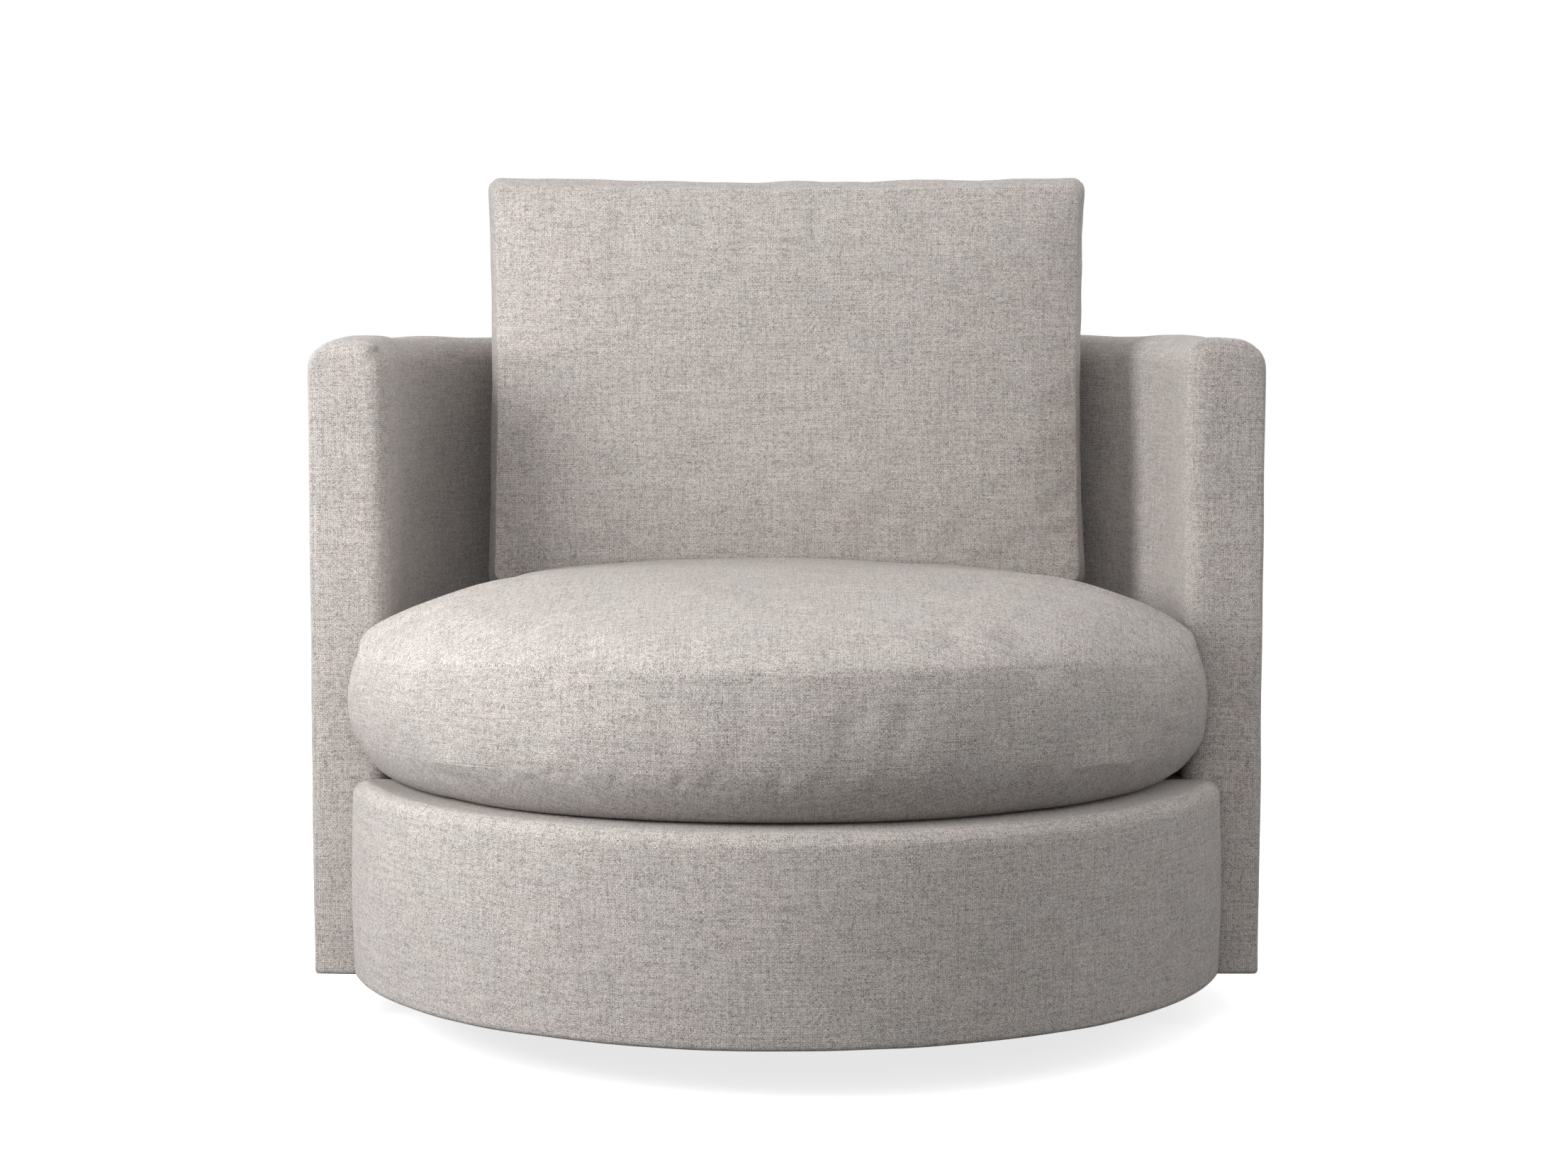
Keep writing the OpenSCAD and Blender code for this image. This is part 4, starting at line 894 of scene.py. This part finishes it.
boxing_start, near_edge = 0.4, (0.003, 0.008, 0.016, 0.028)
grid = even_lines(-1, 1, 0.0235, near_edge, near_edge)
seat_block = block(grid, grid, even_lines(0, 1, 0.11, (0.02, 0.06), (0.02, 0.06)))
lay_cloth(seat_block, seat_cloth, seat_seam, seat_place)
soften(seat_block, depth=0.0002, width=0.003, sag=0.0014, size=0.11, seed=21.0)
seat = as_object(seat_block, "seat_cushion", cloth)
fill_cover(seat, seat_hold, spare=0.006, cap=0.004)
rear_r = seat_half - 0.0006
for vert in seat.data.vertices:
    # The rear lies flat under its zip, and no point of the underside sinks into the deck
    x, y = vert.co.x, vert.co.y - seat_axis_y
    out = math.hypot(x, y)
    if vert.co.y > arm_front + 0.03 and out > rear_r:
        vert.co.x, vert.co.y = x * rear_r / out, y * rear_r / out + seat_axis_y
    vert.co.z = max(vert.co.z, seat_low)
round_off(seat)
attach(seat, "seat_cushion")
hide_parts("seat_cover", "seat_fibre", "seat_core")


# Back cushion
# A loose boxed cushion filled with foam in fibre: crowned panels front and back, edges that draw
# in between tight corners, leaning back, and its underside pressed to the seat cushion's crown.
# A fold across the rear panel hides its zip.
back_half_w, back_low, back_high = 0.3285, 0.4245, 0.8765
back_mid, back_half_h = (back_low + back_high) / 2, (back_high - back_low) / 2
back_front, back_depth, lean = 0.0958, 0.12, math.tan(math.radians(5))
back_seam_in, back_corner_r, back_draw, rest_gap = 0.0105, 0.016, 0.0055, 0.0005
front_swell, rear_swell, wave_across, wave_up = 0.05, 0.045, 0.0018, 0.0022
back_zip_z, back_zip_half, back_zip_y, fold_half = 0.502, 0.2505, 0.2352, 0.0102


def seat_top(x, y):
    """Height of the seat cushion's crown under a place"""
    angle, l = math.atan2(x, -y - deck_ahead), math.hypot(x, y + deck_ahead)
    part = 0.5
    for _ in range(6):
        keep = part ** 6
        part = min(1, l / (keep * seat_reach(angle) + (1 - keep) * seat_half - upper_seam_in))
    return crown_height(part, seat_droop(angle), pressed(x, y))


def swell(d, half):
    """How full a panel is so far from its middle: 1 there, and nothing at its edge"""
    return (1 - min(1, abs(d) / half) ** 2.6) ** 0.5


def back_outline(u, t, v):
    """Across and up from the middle: rounded corners, and wavy edges that draw in between them"""
    seam = back_seam_in * (2 * t - 1) ** 2
    a, b = back_half_w - seam, back_half_h - seam
    place = [u * a, 0, v * b]
    for side in (-1, 1):
        for end in (-1, 1):
            round_corner(place, 0, 2, (side * a, side), (end * b, end), back_corner_r)
    x, z = place[0], place[2]
    across = wave_across * noise.noise(Vector((v * 4.5, t * 1.5, 8.3 + u)))
    up = wave_up * noise.noise(Vector((u * 4.5, t * 1.5, 1.7 + v)))
    x += math.copysign(across, x) * step_up(abs(u), 0.8, 1)
    z += math.copysign(up, z) * step_up(abs(v), 0.8, 1)
    return (x * (1 - back_draw / a * (1 - (z / b) ** 2)),
            z * (1 - back_draw / b * (1 - (x / a) ** 2)))


def back_place(flat):
    """From a block of -1..1 across, 0..1 from front to rear and -1..1 up, to the cushion"""
    u, t, v = flat
    x, z = back_outline(u, t, v)
    bulge = swell(x, back_half_w) * swell(z, back_half_h)
    z += back_mid
    y = back_front + back_depth * t
    if t == 0:
        y -= front_swell * bulge
    elif t == 1:
        y += rear_swell * bulge
    y += (z - back_low) * lean
    if t == 1 and abs(z - back_zip_z) < fold_half:
        y = min(y, back_zip_y + 0.03 * step_up(abs(x), back_zip_half, back_zip_half + 0.012))
    return Vector((x, y, max(z, seat_top(x, y) + rest_gap)))


def back_cloth(p, side):
    """The sides, front, rear, underside and top each have their own part of the cloth"""
    across, through, up = p.x * back_half_w, p.y * back_depth, p.z * back_half_h
    return ((through + 2, up), (through + 3, up), (across, up), (across + 1, up),
            (across, through + 4), (across, through + 5))[side]


def back_seam(p):
    """Distance to the seams round both panels, and on the boxing also to its corners"""
    if 0 < p.y < 1:
        to_corner = math.hypot(1 - abs(p.x), 1 - abs(p.z)) * 0.27
        return min(min(p.y, 1 - p.y) * back_depth, to_corner)
    return min((1 - abs(p.x)) * back_half_w, (1 - abs(p.z)) * back_half_h)


def back_hold(place, seam):
    """The seams, rear, boxing and all that lies on the seat cushion keep their shape"""
    return max(near_seam(seam), step_up(place.y, 0.17, 0.2),
               0.8 * step_up(abs(place.x) / back_half_w, 0.93, 0.965),
               0.8 * step_up(place.z, back_high - 0.02, back_high - 0.01),
               float(place.z < seat_top(place.x, place.y) + 0.02))


near_side, near_top = (0.006, 0.015, 0.03, 0.045), (0.008, 0.02, 0.04, 0.065)
fold = [(back_zip_z + d - back_mid) / back_half_h for d in (-0.0125, -0.0098, 0.0098, 0.0125)]
fold_room = 0.012
up_lines = [v for v in even_lines(-1, 1, 0.048, near_top, near_top)
            if v < fold[0] - fold_room or v > fold[-1] + fold_room]
back_block = block(even_lines(-1, 1, 0.034, near_side, near_side),
                   even_lines(0, 1, 0.1, (0.02, 0.05), (0.02, 0.05)), sorted(up_lines + fold))
lay_cloth(back_block, back_cloth, back_seam, back_place)
soften(back_block, depth=0.0005, width=0.003, sag=0.0016, size=0.09, seed=31.0)
back = as_object(back_block, "back_cushion", cloth)
fill_cover(back, back_hold, spare=0.008, cap=0.005)
for vert in back.data.vertices:
    vert.co.z = max(vert.co.z, seat_top(vert.co.x, vert.co.y) + rest_gap)
round_off(back)
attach(back, "back_cushion")
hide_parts("back_cover", "back_fibre", "back_core")


# Zips
# Each cushion closes behind with a coil zip: two woven tapes, a row of nylon coil between them,
# and a plated slider with a flat pull. The tapes lie on the rear of their cushions.
zip_w, tape_t, tape_hem, coil_half, tooth_pitch = 0.018, 0.0005, 0.0075, 0.0016, 0.0016
seat_zip_z, seat_zip_gap, seat_zip_turn = 0.3495, 0.00005, math.radians(48)
back_zip_face, back_zip_l = 0.23548, 0.5


def seat_way(along, out, up):
    """A place on the seat cushion's rear, from along its zip, out of it and up"""
    r, turn = seat_half + seat_zip_gap + out, along / seat_half
    return Vector((r * math.sin(turn), seat_axis_y + r * math.cos(turn), seat_zip_z + up))


def back_way(along, out, up):
    """The same on the back cushion's rear"""
    return Vector((along, back_zip_face + out, back_zip_z + up))


def small_box(made, middle, size, round_r=0.0, narrow=1.0):
    """A box with rounded edges, narrowed towards its far end along X"""
    verts = bmesh.ops.create_cube(made, size=1)["verts"]
    for vert in verts:
        slim = narrow if vert.co.x > 0 else 1
        vert.co = Vector([m + c * s for m, c, s in zip(middle, vert.co, size)])
        vert.co.z = middle[2] + (vert.co.z - middle[2]) * slim
    if round_r:
        edges = {e for v in verts for e in v.link_edges}
        bmesh.ops.bevel(made, geom=list(edges), offset=round_r, segments=2, affect="EDGES",
                        profile=0.5, material=-1)


def zip_tape(name, length, way, body, node):
    made = block(even_lines(-length / 2, length / 2, 0.006), [0, tape_t],
                 [-zip_w / 2, -tape_hem, -coil_half, 0, coil_half, tape_hem, zip_w / 2])
    lay_cloth(made, lambda p, side: (p.x, p.z), no_seam)
    teeth = round(length / tooth_pitch) - 2
    for i in range(teeth):
        along = (i - (teeth - 1) / 2) * tooth_pitch
        small_box(made, (along, 0.00072, coil_half * (0.3 if i % 2 else -0.3)),
                  (0.00085, 0.0005, coil_half * 1.3))
    seams = made.verts.layers.float["seam"]
    for vert in made.verts:
        vert[seams] = 1.0
        vert.co = way(*vert.co)
    tape = as_object(made, name, zip_cloth)
    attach(tape, body)
    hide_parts(node)


def zip_slider(name, centre, way, body, node):
    """Its body, the bridge on it, the flat pull and the pull's raised end"""
    made = bmesh.new()
    small_box(made, (-0.0075, 0.0024, 0), (0.011, 0.0019, 0.0088), 0.0006, 0.62)
    small_box(made, (-0.0062, 0.0036, 0), (0.0075, 0.0009, 0.0022), 0.0003)
    small_box(made, (0.0048, 0.0035, 0), (0.0158, 0.0008, 0.0052), 0.00035, 1.25)
    small_box(made, (0.0092, 0.00395, 0), (0.0045, 0.0003, 0.0042), 0.0001)
    for vert in made.verts:
        vert.co = way(centre + vert.co.x, vert.co.y, vert.co.z)
    slider = as_object(made, name, zinc)
    slider.data.shade_flat()
    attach(slider, body)
    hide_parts(node)


zip_cloth = woven_material("woven_zip_tape", pitch=0.0005, light=(0.05, 0.048, 0.046),
                           warm=(0.042, 0.04, 0.038), cool=(0.046, 0.045, 0.044),
                           shadow=(0.014, 0.013, 0.013), bump_height=0.0001, Roughness=0.75)
zip_tape("seat_zip_tape", 2 * seat_zip_turn * seat_half, seat_way, "seat_cushion", "seat_zip")
zip_tape("back_zip_tape", back_zip_l, back_way, "back_cushion", "back_zip")
seat_slider_at = (math.radians(44) - 0.013 / seat_half) * seat_half
back_slider_at = -0.224
zip_slider("seat_zip_pull", seat_slider_at, seat_way, "seat_slider", "seat_zip_slider")
zip_slider("back_zip_pull", back_slider_at, back_way, "back_slider", "back_zip_slider")


# Studio
# A white floor without a horizon keeps the chair's soft shadow. The main lamp is near the left
# arm, and six wide soft lamps and the light of a pale room fill the shadows.
def white_background(tree, plain, white):
    """plain light for the object, and white where the camera, metal or glass sees past it"""
    path = add_node(tree, "ShaderNodeLightPath").outputs
    seen = maths(tree, "MAXIMUM", path["Is Camera Ray"],
                 maths(tree, "MAXIMUM", path["Is Glossy Ray"], path["Is Transmission Ray"]))
    return add_node(tree, "ShaderNodeMixShader", {0: seen, 1: plain, 2: white}).outputs[0]


floor_paint, tree, shader = new_material("floor_white", Roughness=0.9,
                                         Base_Color=(0.05, 0.05, 0.05, 1))
matt = add_node(tree, "ShaderNodeBsdfDiffuse", {0: (0.6, 0.6, 0.6, 1)}).outputs[0]
glow = add_node(tree, "ShaderNodeEmission", {0: (1, 1, 1, 1), 1: 0.76}).outputs[0]
white = add_node(tree, "ShaderNodeAddShader", {0: matt, 1: glow}).outputs[0]
tree.links.new(white_background(tree, shader.outputs[0], white),
               tree.nodes["Material Output"].inputs[0])
floor_mesh = bmesh.new()
bmesh.ops.create_grid(floor_mesh, x_segments=1, y_segments=1, size=12)
floor = as_object(floor_mesh, "floor", floor_paint)

world = bpy.data.worlds.new("studio")
bpy.context.scene.world = world
world.use_nodes = True
tree = world.node_tree
room = add_node(tree, "ShaderNodeBackground", {0: (1.0, 0.99, 0.98, 1), 1: 0.48}).outputs[0]
clear = add_node(tree, "ShaderNodeBackground", {0: (1, 1, 1, 1), 1: 1.0}).outputs[0]
tree.links.new(white_background(tree, room, clear), tree.nodes["World Output"].inputs[0])
lit_point = Vector((0, -0.1, 0.45))


def softbox(name, place, size, watts):
    """A square lamp turned to the middle of the chair"""
    lamp = bpy.data.objects.new(name, bpy.data.lights.new(name, "AREA"))
    lamp.data.shape = "SQUARE"
    lamp.data.size = size
    lamp.data.energy = watts
    lamp.location = place
    lamp.rotation_euler = (lit_point - lamp.location).to_track_quat("-Z", "Y").to_euler()
    bpy.context.scene.collection.objects.link(lamp)


softbox("key", (-1.4, -0.9, 1.0), 0.8, 31)
softbox("high", (0.2, -2.2, 2.4), 1.6, 16)
softbox("front", (0, -3.6, 1.6), 2.0, 9)
softbox("left front", (-0.9, -3.2, 1.1), 1.6, 12)
softbox("side", (2.3, 0.1, 1.3), 1.2, 13)
softbox("back", (0.5, 2.6, 2.0), 2.0, 30)
softbox("top", (0, -0.2, 2.6), 2.2, 13)
bpy.context.scene.view_settings.view_transform = "Standard"
